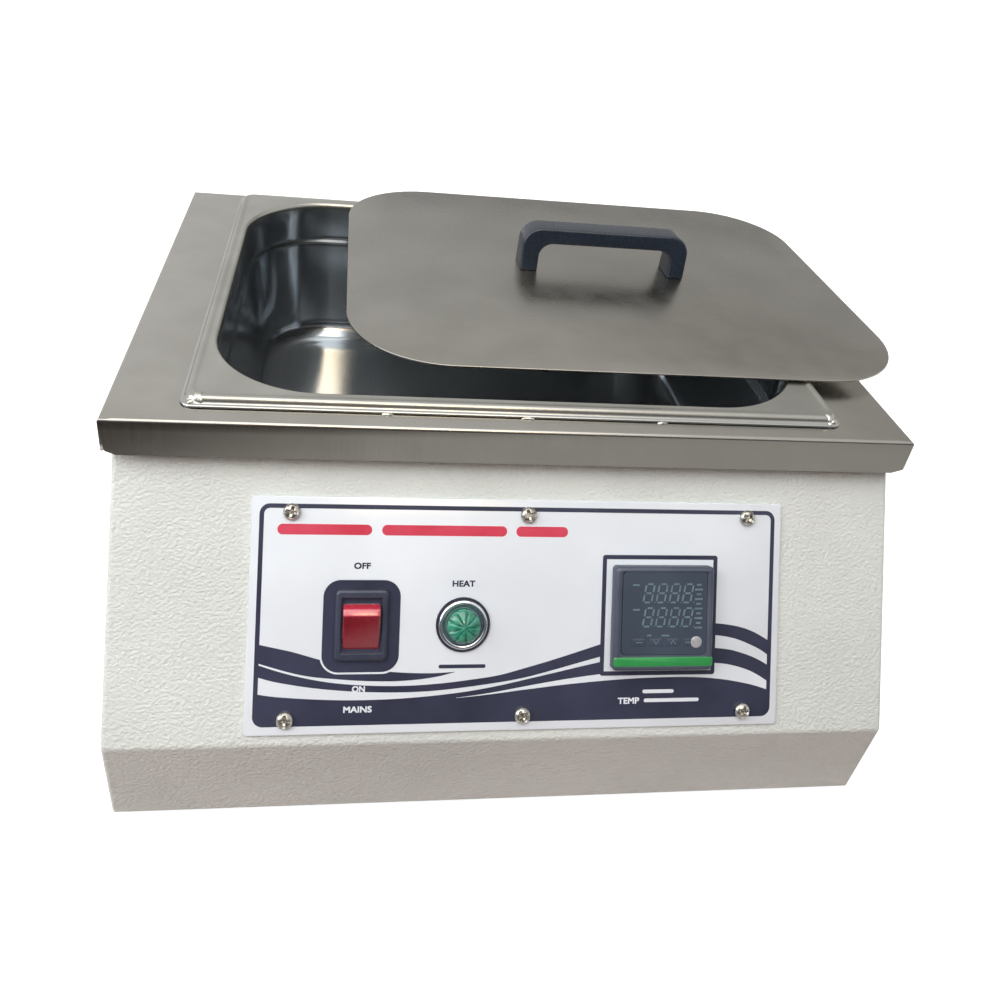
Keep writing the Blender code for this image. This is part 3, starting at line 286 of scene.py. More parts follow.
def shell_rows():
    """Rows of points down the front, each running from the rear of one side to that of the other.

    A row goes along the left side, round a quarter turn, across the front and back. The front's
    own line, from top to bottom, is three flats with an arc at both bends between them.
    """
    upright_y = FACE_TOP_Y + UPRIGHT_RISE * math.tan(FRONT_SLANT)
    nose = on_front((0, -NOSE_DROP, 0))[1:]
    corners = (
        (upright_y, SHELL_TOP),
        (upright_y, FACE_TOP_Z + UPRIGHT_RISE),
        tuple(nose),
        (nose[0] + KICK_INSET, SHELL_BOTTOM),
    )
    line = bent_line(corners, (SHELL_TOP_BEND, SHELL_NOSE_BEND))
    drops = np.sort(np.concatenate([drop + np.array((-1, 1)) * hole[1] for _, drop, hole in HOLES]))
    flat = on_front(np.stack((drops * 0, -drops, drops * 0), -1))[:, 1:]
    line = np.vstack((line, flat))
    line = line[np.argsort(-line[:, 1])]
    edges = np.concatenate([x + np.array((-1, 1)) * hole[0] for x, _, hole in HOLES])
    flat_half = SHELL_HALF - SHELL_SIDE_BEND
    across = np.sort(np.concatenate((np.linspace(-flat_half, flat_half, 9), edges)))
    turn = np.linspace(math.pi, 1.5 * math.pi, 8)[1:-1]
    share = np.linspace(0, 1, 6)
    y = line[:, :1]
    side_x = np.concatenate((share * 0 - SHELL_HALF, SHELL_SIDE_BEND * np.cos(turn) - flat_half))
    side_y = np.hstack(
        (
            SHELL_REAR + (y + SHELL_SIDE_BEND - SHELL_REAR) * share,
            y + SHELL_SIDE_BEND + SHELL_SIDE_BEND * np.sin(turn),
        )
    )
    x = np.concatenate((side_x, across, -side_x[::-1]))
    depth = np.hstack((side_y, y + across * 0, side_y[:, ::-1]))
    height = line[:, 1:] + x * 0
    rows = np.stack((MIDDLE_X + x + y * 0, depth, height), -1)
    down = (FACE_TOP_Z - line[:, 1]) / math.cos(FRONT_SLANT)
    middle_x = (x[1:] + x[:-1]) / 2
    middle_down = (down[1:, None] + down[:-1, None]) / 2
    keep = np.ones((len(down) - 1, len(x) - 1), bool)
    for hole_x, drop, (half_x, half_down) in HOLES:
        keep &= (np.abs(middle_x - hole_x) > half_x) | (np.abs(middle_down - drop) > half_down)
    return rows, keep


powder_coat = new_finish(
    "powder_coat", 0.05, (0.85, 0.865, 0.845), (0.875, 0.89, 0.87), (0.004, 0.42, 0.58),
    roughness=0.5, coat_weight=0.08, coat_roughness=0.3,
)
grain = cloudy(powder_coat, 0.0018, 1.5, 0.2, (1.0, 0.8, 0.8), (0, 0.6, 0.5))
emboss(powder_coat, grain, 0.0011, 0.55)
emboss(powder_coat, cloudy(powder_coat, 0.0007, 1.0), 0.0003, 0.42)
rows, keep = shell_rows()
add_piece(
    "cabinet_shell_sheet", [band(rows, False, keep)],
    powder_coat, "powder_coat", "cabinet", "cabinet_shell", facing=(0, -1, 0), sheet=SHELL_SHEET,
)

# Rear panel and base
# Flat sheets screwed on from outside: the rear one is coated as the shell is, the base is bare
# zinc plate with the small crystals of its bath. Vents are punched through both.
def coat(node, finish):
    """Gives its finish to a solid that is shown as it stands."""
    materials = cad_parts[node].data.materials
    materials.clear()
    materials.append(finish)


coat("rear_panel", powder_coat)
zinc_plate = new_finish("zinc_plate", metallic=1.0, roughness=0.4)
vary(zinc_plate, cloudy(zinc_plate, 0.02, 1.0), "Base Color", tint(0.6, 0.61, 0.63), tint(0.72, 0.73, 0.74))
vary(zinc_plate, cloudy(zinc_plate, 0.008, 4.0), "Roughness", 0.3, 0.5)
coat("base_plate", zinc_plate)

# Feet
# Four turned rubber buffers, moulded in black and held up into the base by a screw each.
foot_rubber = new_finish("foot_rubber", 0.006, (0.1, 0.1, 0.1), (0.17, 0.165, 0.16), roughness=0.75)
emboss(foot_rubber, cloudy(foot_rubber, 0.0008), 0.0002, 0.4)
for number in range(1, 5):
    coat(f"foot_{number}", foot_rubber)

# Screws
# Pan-headed steel screws with a cross recess, bright zinc plated: M4 for the sheets and the front
# plate, M3 for the inlet and the lid's handle. Sizes are the head's radius and height, then the
# shank's radius and length.
M4_SCREW = (0.004, 0.0026, 0.0019, 0.007)
M3_SCREW = (0.003, 0.002, 0.0014, 0.006)
HANDLE_SCREW = (0.003, 0.002, 0.0014, 0.009)
SCREW_STEPS = 96
SCREW_SEAT = 0.0003
SCREW_RECESS = 0.0017
bright_zinc = new_finish(
    "bright_zinc", 0.003, (0.62, 0.61, 0.58), (0.78, 0.77, 0.74), (0.0015, 0.16, 0.38),
    metallic=1.0, roughness=0.24,
)


def screw_patches(head_radius, head_height, shank_radius, length):
    """A screw from its tip to its head, about +Z.

    The head's height falls off with the fourth power of the radius. The recess is two crossed
    slots whose walls slope in, deepest at the middle, and the rim of the head is rounded.
    """
    angle = np.linspace(0, 2 * math.pi, SCREW_STEPS, endpoint=False)
    share = np.linspace(0, 1, 26)[1:, None]
    x = head_radius * share * np.cos(angle)
    y = head_radius * share * np.sin(angle)
    crown = SCREW_SEAT + head_height * (1 - 0.62 * share**4) + x * 0
    slot = head_radius * 0.14
    reach = head_radius * 0.56
    wide = np.maximum(np.abs(x) / reach, np.abs(y) / slot)
    tall = np.maximum(np.abs(y) / reach, np.abs(x) / slot)
    arms = np.minimum(wide, tall)
    crown = crown - SCREW_RECESS * np.clip(1.35 - arms, 0, 0.35) / 0.35 * np.clip(1.3 - share, 0.3, 1)
    top = np.stack((x, y, crown), -1)
    profile = (
        (head_radius, SCREW_SEAT + head_height * 0.3),
        (head_radius * 0.985, SCREW_SEAT),
        (shank_radius, SCREW_SEAT),
        (shank_radius, SCREW_SEAT - length),
    )
    side = [
        np.stack((radius * np.cos(angle), radius * np.sin(angle), height + angle * 0), -1)
        for radius, height in profile
    ]
    return [band(np.concatenate((top, np.stack(side)))), cap(top[0]), cap(side[-1])]


def place_screw(name, node, sizes, centre, along, body):
    """A screw whose +Z is turned to point along a direction, put where its solid is."""
    turn = Vector((0, 0, 1)).rotation_difference(Vector(along)).to_matrix()
    turn = np.array(turn) @ np.array(Matrix.Rotation(0.6 * sum(map(ord, name)), 3, "Z"))
    patches = [(points @ turn.T + np.array(centre), faces) for points, faces in screw_patches(*sizes)]
    add_piece(name, patches, bright_zinc, "screw_zinc", body, node, sharp=40)


FRONT_OUT = (0, -math.cos(FRONT_SLANT), math.sin(FRONT_SLANT))
LABEL_FACE = 0.0013
LABEL_MIDDLE_X = 0.0018
SCREW_ACROSS = 0.11315
SCREW_DROPS = (0.0307, 0.1279)
number = 1
for drop in SCREW_DROPS:
    for side in (-1, 0, 1):
        seat = on_front((LABEL_MIDDLE_X + side * SCREW_ACROSS, -drop, LABEL_FACE))
        place_screw(f"front_screw_{number}", f"label_screw_{number}", M4_SCREW, seat, FRONT_OUT, "cabinet")
        number += 1
BELOW = (0, 0, -1)
BEHIND = (0, 1, 0)
BOLTS = (
    ("foot", 4, M4_SCREW, BELOW, "cabinet"),
    ("base", 4, M4_SCREW, BELOW, "cabinet"),
    ("rear", 4, M4_SCREW, BEHIND, "cabinet"),
    ("inlet", 2, M3_SCREW, BEHIND, "cabinet"),
    ("lid", 2, HANDLE_SCREW, BELOW, "lid"),
)
for kind, count, sizes, along, body in BOLTS:
    for number in range(1, count + 1):
        node = f"{kind}_screw_{number}"
        low, high = (np.array(corner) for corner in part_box(node))
        seat = (low + high) / 2 + np.array(along) * ((sizes[3] - sizes[1]) / 2 - SCREW_SEAT)
        place_screw(f"{kind}_bolt_{number}", node, sizes, seat, along, body)

# Hidden workings
# A silicone heater mat and a fibre pad under the pan, a thermal cut-out, a probe, the terminal
# block, the inlet, and the nuts and the clamp behind the front: moulded and stamped parts.
silicone = new_finish("heater_silicone", 0.012, (0.6, 0.26, 0.16), (0.68, 0.33, 0.2), roughness=0.6)
fibre = new_finish("insulation_fibre", roughness=0.95)
vary(fibre, cloudy(fibre, 0.003, 6.0), "Base Color", tint(0.86, 0.84, 0.78), tint(0.94, 0.93, 0.88))
emboss(fibre, cloudy(fibre, 0.002, 6.0), 0.001, 0.6)
moulded_black = new_finish(
    "moulded_black", 0.01, (0.1, 0.11, 0.12), (0.15, 0.16, 0.18), (0.002, 0.36, 0.52),
    roughness=0.42,
)
emboss(moulded_black, cloudy(moulded_black, 0.0006, 1.0), 0.0001, 0.3)
plated = new_finish(
    "plated_steel", 0.004, (0.8, 0.8, 0.79), (0.87, 0.87, 0.87),
    metallic=1.0, roughness=0.2,
)
coat("heater_mat", silicone)
coat("insulation_pad", fibre)
coat("sensor_probe", plated)
for node in ("thermal_cutout", "terminal_block", "controller_clamp", "indicator_nut", "power_inlet"):
    coat(node, moulded_black)
for number in range(1, 5):
    coat(f"plate_nut_{number}", bright_zinc)

# Top plate
# Satin stainless sheet with its four edges folded down into a skirt. The folds' ends are snipped at
# the bottom and only touch at the top, so the left front corner stands open on its raw edge.
PLATE_HALF_X = 0.1955
PLATE_HALF_Y = 0.14265
PLATE_Y = 0.025246
PLATE_TOP = 0.19528
PLATE_SHEET = 0.0012
PLATE_BEND = 0.0017
SKIRT_BOTTOM = 0.17618
SNIP_WIDTH = 0.0062
SNIP_HEIGHT = 0.002
PAN_X = -0.01595
PAN_Y = 0.027246
OPENING_WIDTH = 0.3034
OPENING_DEPTH = 0.2455
OPENING_CORNER = 0.0525
PLATE_GAP = 0.0011
SKIRT_LEANS = ((0.0009, 0.0009), (0.0003, 0.0003), (0.0018, 0.0008), (0.0003, 0.0003))
QUARTER_TURNS = [
    np.array(((cosine, sine), (-sine, cosine))) for cosine, sine in ((1, 0), (0, 1), (-1, 0), (0, -1))
]


def rounded_sides(width, depth, radius, steps=10):
    """Four sides of a rounded rectangle, each from the middle of one corner to that of the next.

    Half a corner's arc, a straight with a point at its middle, and half of the next arc.
    """
    half = np.linspace(0, math.pi / 4, steps)
    sides = []
    for spin, (long, deep) in zip(QUARTER_TURNS, ((width, depth), (depth, width)) * 2):
        x = long / 2 - radius
        y = deep / 2 - radius
        right = np.stack((x + radius * np.sin(half[::-1]), y + radius * np.cos(half[::-1])), -1)
        side = np.vstack((right, (0, deep / 2), (right * (-1, 1))[::-1]))
        sides.append(side @ spin)
    return np.stack(sides)


def level_ring(width, depth, radius, steps, centre, z):
    """A rounded rectangle about a centre, at one height."""
    loop = rounded_sides(width, depth, radius, steps)[:, :-1].reshape(-1, 2)
    return np.column_stack((loop + centre, np.full(len(loop), z)))


def plate_patches():
    """The flat round the pan's hole, its mitred bends, and one apron below each of them."""
    hole = rounded_sides(OPENING_WIDTH + 2 * PLATE_GAP, OPENING_DEPTH + 2 * PLATE_GAP, OPENING_CORNER)
    count = hole.shape[1]
    hole = hole + (PAN_X, PAN_Y)
    shares = np.linspace(-1, 1, count - 4)[1:-1]
    loops = [np.dstack((hole, np.full(hole.shape[:2], PLATE_TOP)))]
    sides = []
    halves = ((PLATE_HALF_X, PLATE_HALF_Y), (PLATE_HALF_Y, PLATE_HALF_X))
    for spin, (half_long, half_deep) in zip(QUARTER_TURNS, halves * 2):
        snip = 1 - SNIP_WIDTH / half_long
        across = ((-1, -snip, -snip * 0.97), shares * snip * 0.96, (snip * 0.97, snip, 1))
        sides.append((np.concatenate(across)[::-1], half_long, half_deep, spin))
    for angle in np.linspace(0, math.pi / 2, 7):
        drop = PLATE_BEND * (1 - math.cos(angle))
        inset = PLATE_BEND * (1 - math.sin(angle))
        ring = []
        for across, half_long, half_deep, spin in sides:
            flat = np.stack((across * (half_long - inset), across * 0 + half_deep - inset), -1) @ spin
            ring.append(np.column_stack((flat + (MIDDLE_X, PLATE_Y), across * 0 + PLATE_TOP - drop)))
        loops.append(np.stack(ring))
    patches = [band(np.stack(loops).reshape(len(loops), -1, 3))]
    top = PLATE_TOP - PLATE_BEND
    for (right, left), (across, half_long, half_deep, spin) in zip(SKIRT_LEANS, sides):
        reach = np.clip((np.abs(across) - (1 - SNIP_WIDTH / half_long)) * half_long / SNIP_WIDTH, 0, 1)
        low = SKIRT_BOTTOM + SNIP_HEIGHT * reach
        lean = right * (across > 0) + left * (across < 0)
        rows = []
        for share in np.linspace(0, 1, 5):
            x = across * half_long - np.sign(across) * reach * lean * share
            flat = np.stack((x, across * 0 + half_deep), -1) @ spin
            rows.append(np.column_stack((flat + (MIDDLE_X, PLATE_Y), top + (low - top) * share)))
        patches.append(band(rows, False))
    return patches


satin_plate = new_finish("satin_plate", metallic=1.0, roughness=0.3)
mottle = cloudy(satin_plate, 0.035, 4.0)
vary(satin_plate, mottle, "Base Color", tint(0.62, 0.61, 0.585), tint(0.65, 0.64, 0.615))
streaks = cloudy(satin_plate, 0.0006, 3.0, 0.0, (1, 1, 60))
vary(satin_plate, streaks, "Roughness", 0.2, 0.25)
emboss(satin_plate, streaks, 0.00001, 0.1)
add_piece(
    "top_plate_sheet", plate_patches(),
    satin_plate, "plate_stainless", "cabinet", "top_plate", sharp=40, facing=(0, 0, 1), sheet=PLATE_SHEET,
)

# Bath pan
# Deep-drawn stainless pan. Its rim is a pressed bead that stands on the plate on a thin flange, a
# shoulder runs round the wall, and its floor is dished; a few tacks of weld hold the flange.
RIM_WIDTH = 0.325
RIM_DEPTH = 0.268
RIM_CORNER = 0.0072
PAN_SHEET = 0.0008
PAN_FLOOR = 0.10018
FLOOR_INSET = 0.0062
FLOOR_BEND = 0.014
FLOOR_DISH = 0.0003
WALL_CORNER_STEPS = 16
RIM_PROFILE = (
    (0.0, 0.0004), (0.0, 0.0010), (0.0003, 0.0014), (0.0008, 0.0016), (0.0013, 0.0017),
    (0.0017, 0.0019), (0.0020, 0.0023), (0.0023, 0.0030), (0.0026, 0.0038), (0.0030, 0.0043),
    (0.0036, 0.0047), (0.0044, 0.0049), (0.0052, 0.0048), (0.0060, 0.0045), (0.0068, 0.0043),
)
WALL_PROFILE = (
    (-0.0026, 0.0043), (-0.0020, 0.0044), (-0.0014, 0.0042), (-0.0009, 0.0038), (-0.0004, 0.0030),
    (-0.0001, 0.0020), (0.0, 0.0008), (0.0, -0.0188), (0.0001, -0.0202), (0.0003, -0.0213),
    (0.0007, -0.0223), (0.0012, -0.0232), (0.0016, -0.0242), (0.0018, -0.0252), (0.0019, -0.0264),
)


def pan_rows():
    """Loops from the flange's edge to the middle of the floor.

    Each is a rounded rectangle. Down the rim they share its small corner, down the wall their
    corner is the opening's less the inset, and the floor's edge is a quarter of a circle.
    """
    levels = [(RIM_WIDTH - 2 * i, RIM_DEPTH - 2 * i, RIM_CORNER, PLATE_TOP + z) for i, z in RIM_PROFILE]
    wall = list(WALL_PROFILE)
    deep = PAN_FLOOR - PLATE_TOP
    for angle in np.linspace(0, math.pi / 2, 12):
        inset = FLOOR_INSET + FLOOR_BEND * (1 - math.cos(angle))
        wall.append((inset, deep + FLOOR_BEND * (1 - math.sin(angle))))
    for inset, z in wall:
        width, depth, corner = OPENING_WIDTH - 2 * inset, OPENING_DEPTH - 2 * inset, OPENING_CORNER - inset
        levels.append((width, depth, corner, PLATE_TOP + z))
    for share in (0.92, 0.75, 0.5, 0.25, 0.05):
        dish = FLOOR_DISH * (1 - share**2)
        levels.append((width * share, depth * share, corner * share, PAN_FLOOR - dish))
    return np.stack([
        level_ring(width, depth, corner, WALL_CORNER_STEPS, (PAN_X, PAN_Y), z)
        for width, depth, corner, z in levels
    ])


drawn_steel = new_finish("drawn_steel", metallic=1.0, roughness=0.2)
mottle = cloudy(drawn_steel, 0.03, 4.0)
vary(drawn_steel, mottle, "Base Color", tint(0.61, 0.605, 0.58), tint(0.65, 0.645, 0.62))
# Below the rim the base colour is painted paler: a painted brightening of the well, standing in for the light
# that bounces round inside it.
well = slide(drawn_steel, (0, 0, 1), PLATE_TOP - 0.004, PLATE_TOP + 0.003)
overlay(drawn_steel, well, tint(0.70, 0.72, 0.735))
vary(drawn_steel, well, "Roughness", 0.16, 0.27, 0, 1)
bottom = slide(drawn_steel, (0, 0, 1), PAN_FLOOR + 0.001, PAN_FLOOR + 0.005)
vary(drawn_steel, bottom, "Metallic", 0.82, 0.96, 0, 1)
pan_loops = pan_rows()
add_piece(
    "drawn_pan", [band(pan_loops), cap(pan_loops[-1])],
    drawn_steel, "pan_stainless", "cabinet", "bath_pan", sharp=60, facing=(0, 0, 1), sheet=PAN_SHEET,
)


def tack_patches(x, y, long, wide, high):
    """A low mound: an oval whose height falls as the root of what is left of the radius squared."""
    angle = np.linspace(0, 2 * math.pi, 24, endpoint=False)
    share = np.linspace(1, 0.1, 8)[:, None]
    ripple = 1 + 0.12 * np.sin(3 * angle + x * 900)
    rows = np.stack(
        (
            x + long * share * ripple * np.cos(angle),
            y + wide * share * ripple * np.sin(angle),
            PLATE_TOP + high * np.sqrt(np.clip(1 - share**2, 0, 1)) + angle * 0,
        ),
        -1,
    )
    return closed(rows)


front_rim = PAN_Y - RIM_DEPTH / 2
TACKS = ((-0.068, 0.0028, 0.0011), (-0.001, 0.0032, 0.0012), (0.066, 0.0028, 0.0010))
CORNER_TACKS = (
    (-0.1535, 0.0052, 0.0042, 0.0038, 0.0053), (-0.1568, 0.0030, 0.0026, 0.0018, 0.0030),
    (0.1545, 0.0050, 0.0034, 0.0034, 0.0053), (0.1574, 0.0032, 0.0026, 0.0020, 0.0034),
    (0.1552, 0.0018, 0.0018, 0.0014, 0.0026),
)
patches = []
for x, long, high in TACKS:
    patches += tack_patches(PAN_X + x, front_rim, long, 0.0011, high)
for x, back, long, wide, high in CORNER_TACKS:
    patches += tack_patches(PAN_X + x, front_rim + back, long, wide, high)
add_piece("rim_tacks", patches, bright_zinc, "pan_stainless", "cabinet", sharp=60)

# Front plate
# A white acrylic plate a millimetre thick, printed in dark blue under a clear gloss. The print is a
# rounded frame, three sweeping waves, pads round the switch and the controller, and plain words.
LABEL_HALF_X = 0.13165
LABEL_TOP = 0.0235
LABEL_LOW = 0.1351
LABEL_CORNER = 0.0016
LABEL_BACK = 0.0003
INK = 0.00003
white_gloss = new_finish(
    "white_gloss", 0.06, (0.90, 0.92, 0.94), (0.93, 0.95, 0.97), (0.02, 0.1, 0.16),
    roughness=0.1,
)
navy_ink = new_finish(
    "navy_ink", 0.05, (0.20, 0.21, 0.28), (0.25, 0.26, 0.34), (0.02, 0.12, 0.18),
    roughness=0.1,
)
red_ink = new_finish("red_ink", 0.03, (0.84, 0.26, 0.34), (0.89, 0.34, 0.42), roughness=0.12)


def rounded_loop(left, right, top, low, corner, steps=8):
    """A rounded rectangle between drops down the slope, as points across and up it."""
    sides = rounded_sides(right - left, low - top, corner, steps)[:, :-1].reshape(-1, 2)
    return sides + ((left + right) / 2, -(top + low) / 2)


def lift(loop, out):
    """A flat loop on the front, at a height out of it."""
    loop = np.asarray(loop, float)
    return on_front(np.column_stack((loop, np.full(len(loop), out))))


LABEL_EDGE = 0.00025
label_levels = (
    (0, LABEL_BACK), (0, LABEL_FACE - LABEL_EDGE), (0.3, LABEL_FACE - LABEL_EDGE * 0.3), (1, LABEL_FACE),
)
label_rows = []
for share, out in label_levels:
    inset = LABEL_EDGE * share
    left, right = LABEL_MIDDLE_X - LABEL_HALF_X + inset, LABEL_MIDDLE_X + LABEL_HALF_X - inset
    loop = rounded_loop(left, right, LABEL_TOP + inset, LABEL_LOW - inset, LABEL_CORNER)
    label_rows.append(lift(loop, out))
add_piece("front_plate", closed(label_rows), white_gloss, "label_face", "cabinet", "label_plate", sharp=50)


def ink_pad(loop, level, face=LABEL_FACE):
    """A flat patch of ink that fills a loop, a level above a face."""
    return closed([lift(loop, face - INK), lift(loop, face + level * INK)])


def ink_line(outer, inner, level):
    """A closed line of ink between two loops."""
    low, high = LABEL_FACE - INK, LABEL_FACE + level * INK
    rows = [lift(outer, low), lift(outer, high), lift(inner, high), lift(inner, low), lift(outer, low)]
    return [band(rows)]


def eased(line, stations):
    """A smooth curve through given points: cubics whose slopes are those of their neighbours."""
    x, y = np.array(line, float).T / 1000
    slope = np.gradient(y, x)
    place = np.clip(np.searchsorted(x, stations) - 1, 0, len(x) - 2)
    gap = x[place + 1] - x[place]
    share = (stations - x[place]) / gap
    first = (1 + 2 * share) * (1 - share) ** 2 * y[place] + share * (1 - share) ** 2 * gap * slope[place]
    second = share**2 * (3 - 2 * share) * y[place + 1] - share**2 * (1 - share) * gap * slope[place + 1]
    return first + second


def ink_wave(start, end, upper, lower, level, steps=90):
    """Ink between two curves, cut into short four-sided steps along the plate."""
    x = np.linspace(start, end, steps)
    high = eased(upper, x) if not np.isscalar(upper) else x * 0 + upper
    low = eased(lower, x) if not np.isscalar(lower) else x * 0 + lower
    under, over = LABEL_FACE - INK, LABEL_FACE + level * INK
    corners = ((high, under), (high, over), (low, over), (low, under))
    rows = np.stack([np.stack((x, -drop, x * 0 + out), -1) for drop, out in corners], 1)
    return closed(on_front(rows))


CREST_TOP = ((-124.5, 92.7), (-116.8, 94.45), (-110.1, 95.95), (-96.6, 99.9), (-80, 103.9),
             (-63.2, 106.05), (-50.2, 106.9), (-41.5, 107.0), (-31.9, 106.5))
CREST_LOW = ((-124.5, 101.4), (-118.1, 103.4), (-109.8, 105.85), (-101.4, 107.7), (-89.5, 109.1),
             (-75.9, 110.2), (-58.8, 110.5), (-45.8, 109.5), (-38.9, 108.4), (-31.9, 106.6))
FIRST_TOP = ((-124.5, 102.2), (-118.1, 104.4), (-109.7, 106.9), (-101.3, 108.9), (-92.9, 110.5),
             (-84.4, 111.6), (-75.9, 112.3), (-58.7, 112.85), (-41.4, 112.15), (-23.8, 110.35),
             (-9.8, 108.3), (2.2, 105.2), (14.3, 101.85), (27.4, 97.9), (40.9, 93.65), (60, 87.6),
             (80, 83.9), (93, 83.4), (100.2, 83.9), (105.2, 84.45), (110.3, 85.25), (115.4, 86.5),
             (120.5, 88.45), (129.5, 93.4))
FIRST_LOW = ((-124.9, 107.75), (-117.9, 109.8), (-109.6, 111.5), (-101.2, 112.9), (-92.7, 114.0),
             (-84.3, 114.8), (-75.8, 115.4), (-67.2, 115.75), (-58, 115.9), (-49.9, 115.8),
             (-41.2, 115.35), (-32.5, 114.6), (-23.7, 113.6), (-14.9, 112.5), (2.3, 109.74),
             (18.2, 105.8), (29.5, 102.8), (40.4, 99.9), (60, 93.6), (80, 90.1), (92, 89.4),
             (100.4, 89.9), (105.4, 90.6), (110.5, 91.7), (118.7, 94.8), (123.8, 97.2), (129.5, 100.9))
SECOND_TOP = ((-124.9, 115.7), (-117.6, 116.9), (-109.3, 117.7), (-101, 118.35), (-92.6, 118.85),
              (-84.1, 119.15), (-75.6, 119.25), (-67.1, 119.15), (-58.5, 118.85), (-49.8, 118.35),
              (-41.2, 117.7), (-32.4, 116.8), (-23.6, 115.7), (-10, 113.4), (4.2, 110.4), (18.2, 107.4),
              (29.5, 104.9), (40.5, 102.6), (60, 98.6), (80, 96.2), (92, 95.9), (100.1, 96.3),
              (104.6, 96.75), (108.7, 97.4), (113.7, 98.75), (118.9, 100.5), (124, 102.75), (129.5, 105.9))
GAP_TOP = ((-31, 118.95), (-23.6, 118.1), (-14.7, 116.9), (-5, 115.3), (4.3, 113.7), (18.3, 111.45),
           (32.5, 109.5), (40.2, 108.6), (60, 106.1), (80, 104.1), (92, 103.6), (99.8, 103.8),
           (103.8, 104.1), (108.9, 104.95), (114, 106.3), (119.1, 108.1), (124.2, 110.75), (127.6, 112.9))
GAP_LOW = ((-31, 119.05), (-20, 118.1), (-9.5, 117.0), (-0.3, 115.9), (9, 114.9), (18.4, 113.85),
           (27.9, 112.95), (37.4, 112.2), (47, 111.55), (56.6, 111.0), (66.4, 110.7), (76.2, 110.55),
           (81.1, 110.55), (88, 110.7), (96, 111.15), (104, 112.0), (111, 113.1), (121.3, 115.35),
           (127.6, 117.3))
PRINT_LEFT, PRINT_RIGHT = -0.1261, 0.1300
PRINT_TOP, PRINT_LOW = 0.0270, 0.1310
PRINT_LINE = 0.0021
PAD_LEFT, PAD_RIGHT = 0.0408, 0.0990
frame_outer = rounded_loop(PRINT_LEFT, PRINT_RIGHT, PRINT_TOP, PRINT_LOW, 0.0048)
frame_inner = rounded_loop(PRINT_LEFT + PRINT_LINE, PRINT_RIGHT - PRINT_LINE, PRINT_TOP + PRINT_LINE,
                           PRINT_LOW - PRINT_LINE, 0.0028)
inside_left, inside_right = PRINT_LEFT + PRINT_LINE / 2, PRINT_RIGHT - PRINT_LINE / 2
lower_corner = 0.0038
patches = ink_line(frame_outer, frame_inner, 2)
patches += ink_wave(inside_left, -0.0319, CREST_TOP, CREST_LOW, 1)
patches += ink_wave(inside_left, PAD_LEFT, FIRST_TOP, FIRST_LOW, 1)
patches += ink_wave(PAD_RIGHT, inside_right, FIRST_TOP, FIRST_LOW, 1, 30)
patches += ink_wave(inside_left, PAD_LEFT, SECOND_TOP, PRINT_LOW - lower_corner, 1)
patches += ink_wave(PAD_LEFT, PAD_RIGHT, GAP_LOW, PRINT_LOW - lower_corner, 1, 40)
patches += ink_wave(PAD_RIGHT, inside_right, SECOND_TOP, PRINT_LOW - lower_corner, 1, 30)
patches += ink_pad(rounded_loop(inside_left, inside_right, PRINT_LOW - 2 * lower_corner,
                                PRINT_LOW - PRINT_LINE / 2, lower_corner - PRINT_LINE / 2 + 0.0003), 0.6)
frame_loops = [
    rounded_loop(0.0400 + i, 0.0998 - i, 0.0499 + i, 0.1094 - i, max(0.0014 - i, 0.0003))
    for i in (0, PRINT_LINE)
]
patches += ink_line(*frame_loops, 3)
add_piece("printed_waves", patches, navy_ink, "label_face", "cabinet", sharp=60)
switch_loop = [
    rounded_loop(-0.0954 - i, -0.0591 + i, 0.0626 - i, 0.1061 + i, 0.0080 + i) for i in (0, 0.0009)
]
add_piece("printed_switch_pad", ink_pad(switch_loop[0], 3), navy_ink, "label_face", "cabinet", sharp=60)
patches = ink_line(switch_loop[1], switch_loop[0], 2)
patches += ink_wave(-0.0310, PAD_LEFT, GAP_TOP, GAP_LOW, 2, 50)
patches += ink_wave(PAD_RIGHT, inside_right - PRINT_LINE / 2, GAP_TOP, GAP_LOW, 2, 20)
add_piece("printed_white_lines", patches, white_gloss, "label_face", "cabinet", sharp=60)
BARS = (
    ("printed_bars", red_ink, 0.0024, (
        (-0.1177, -0.0738, 0.0364, 0.0414), (-0.0690, -0.0086, 0.0364, 0.0414),
        (-0.0040, 0.0218, 0.0364, 0.0414),
    )),
    ("printed_lamp_bar", navy_ink, 0.0008, ((-0.0399, -0.0171, 0.1030, 0.1048),)),
    ("printed_pale_bars", white_gloss, 0.0008, (
        (0.0624, 0.0786, 0.1166, 0.1184), (0.0632, 0.0919, 0.1210, 0.1228),
    )),
)
for name, ink, corner, boxes in BARS:
    patches = []
    for box in boxes:
        patches += ink_pad(rounded_loop(*box, corner), 2)
    add_piece(name, patches, ink, "label_face", "cabinet", sharp=60)
WORD_BOLD = 0.034
WORDS = (
    ("OFF", -0.0777, 0.0559, 0.0030, 0.0079, navy_ink),
    ("ON", -0.0776, 0.1140, 0.0029, 0.0061, white_gloss),
    ("MAINS", -0.0777, 0.1236, 0.0030, 0.0134, white_gloss),
    ("HEAT", -0.0289, 0.0642, 0.0030, 0.0111, navy_ink),
    ("TEMP", 0.0553, 0.1219, 0.0031, 0.0110, white_gloss),
)


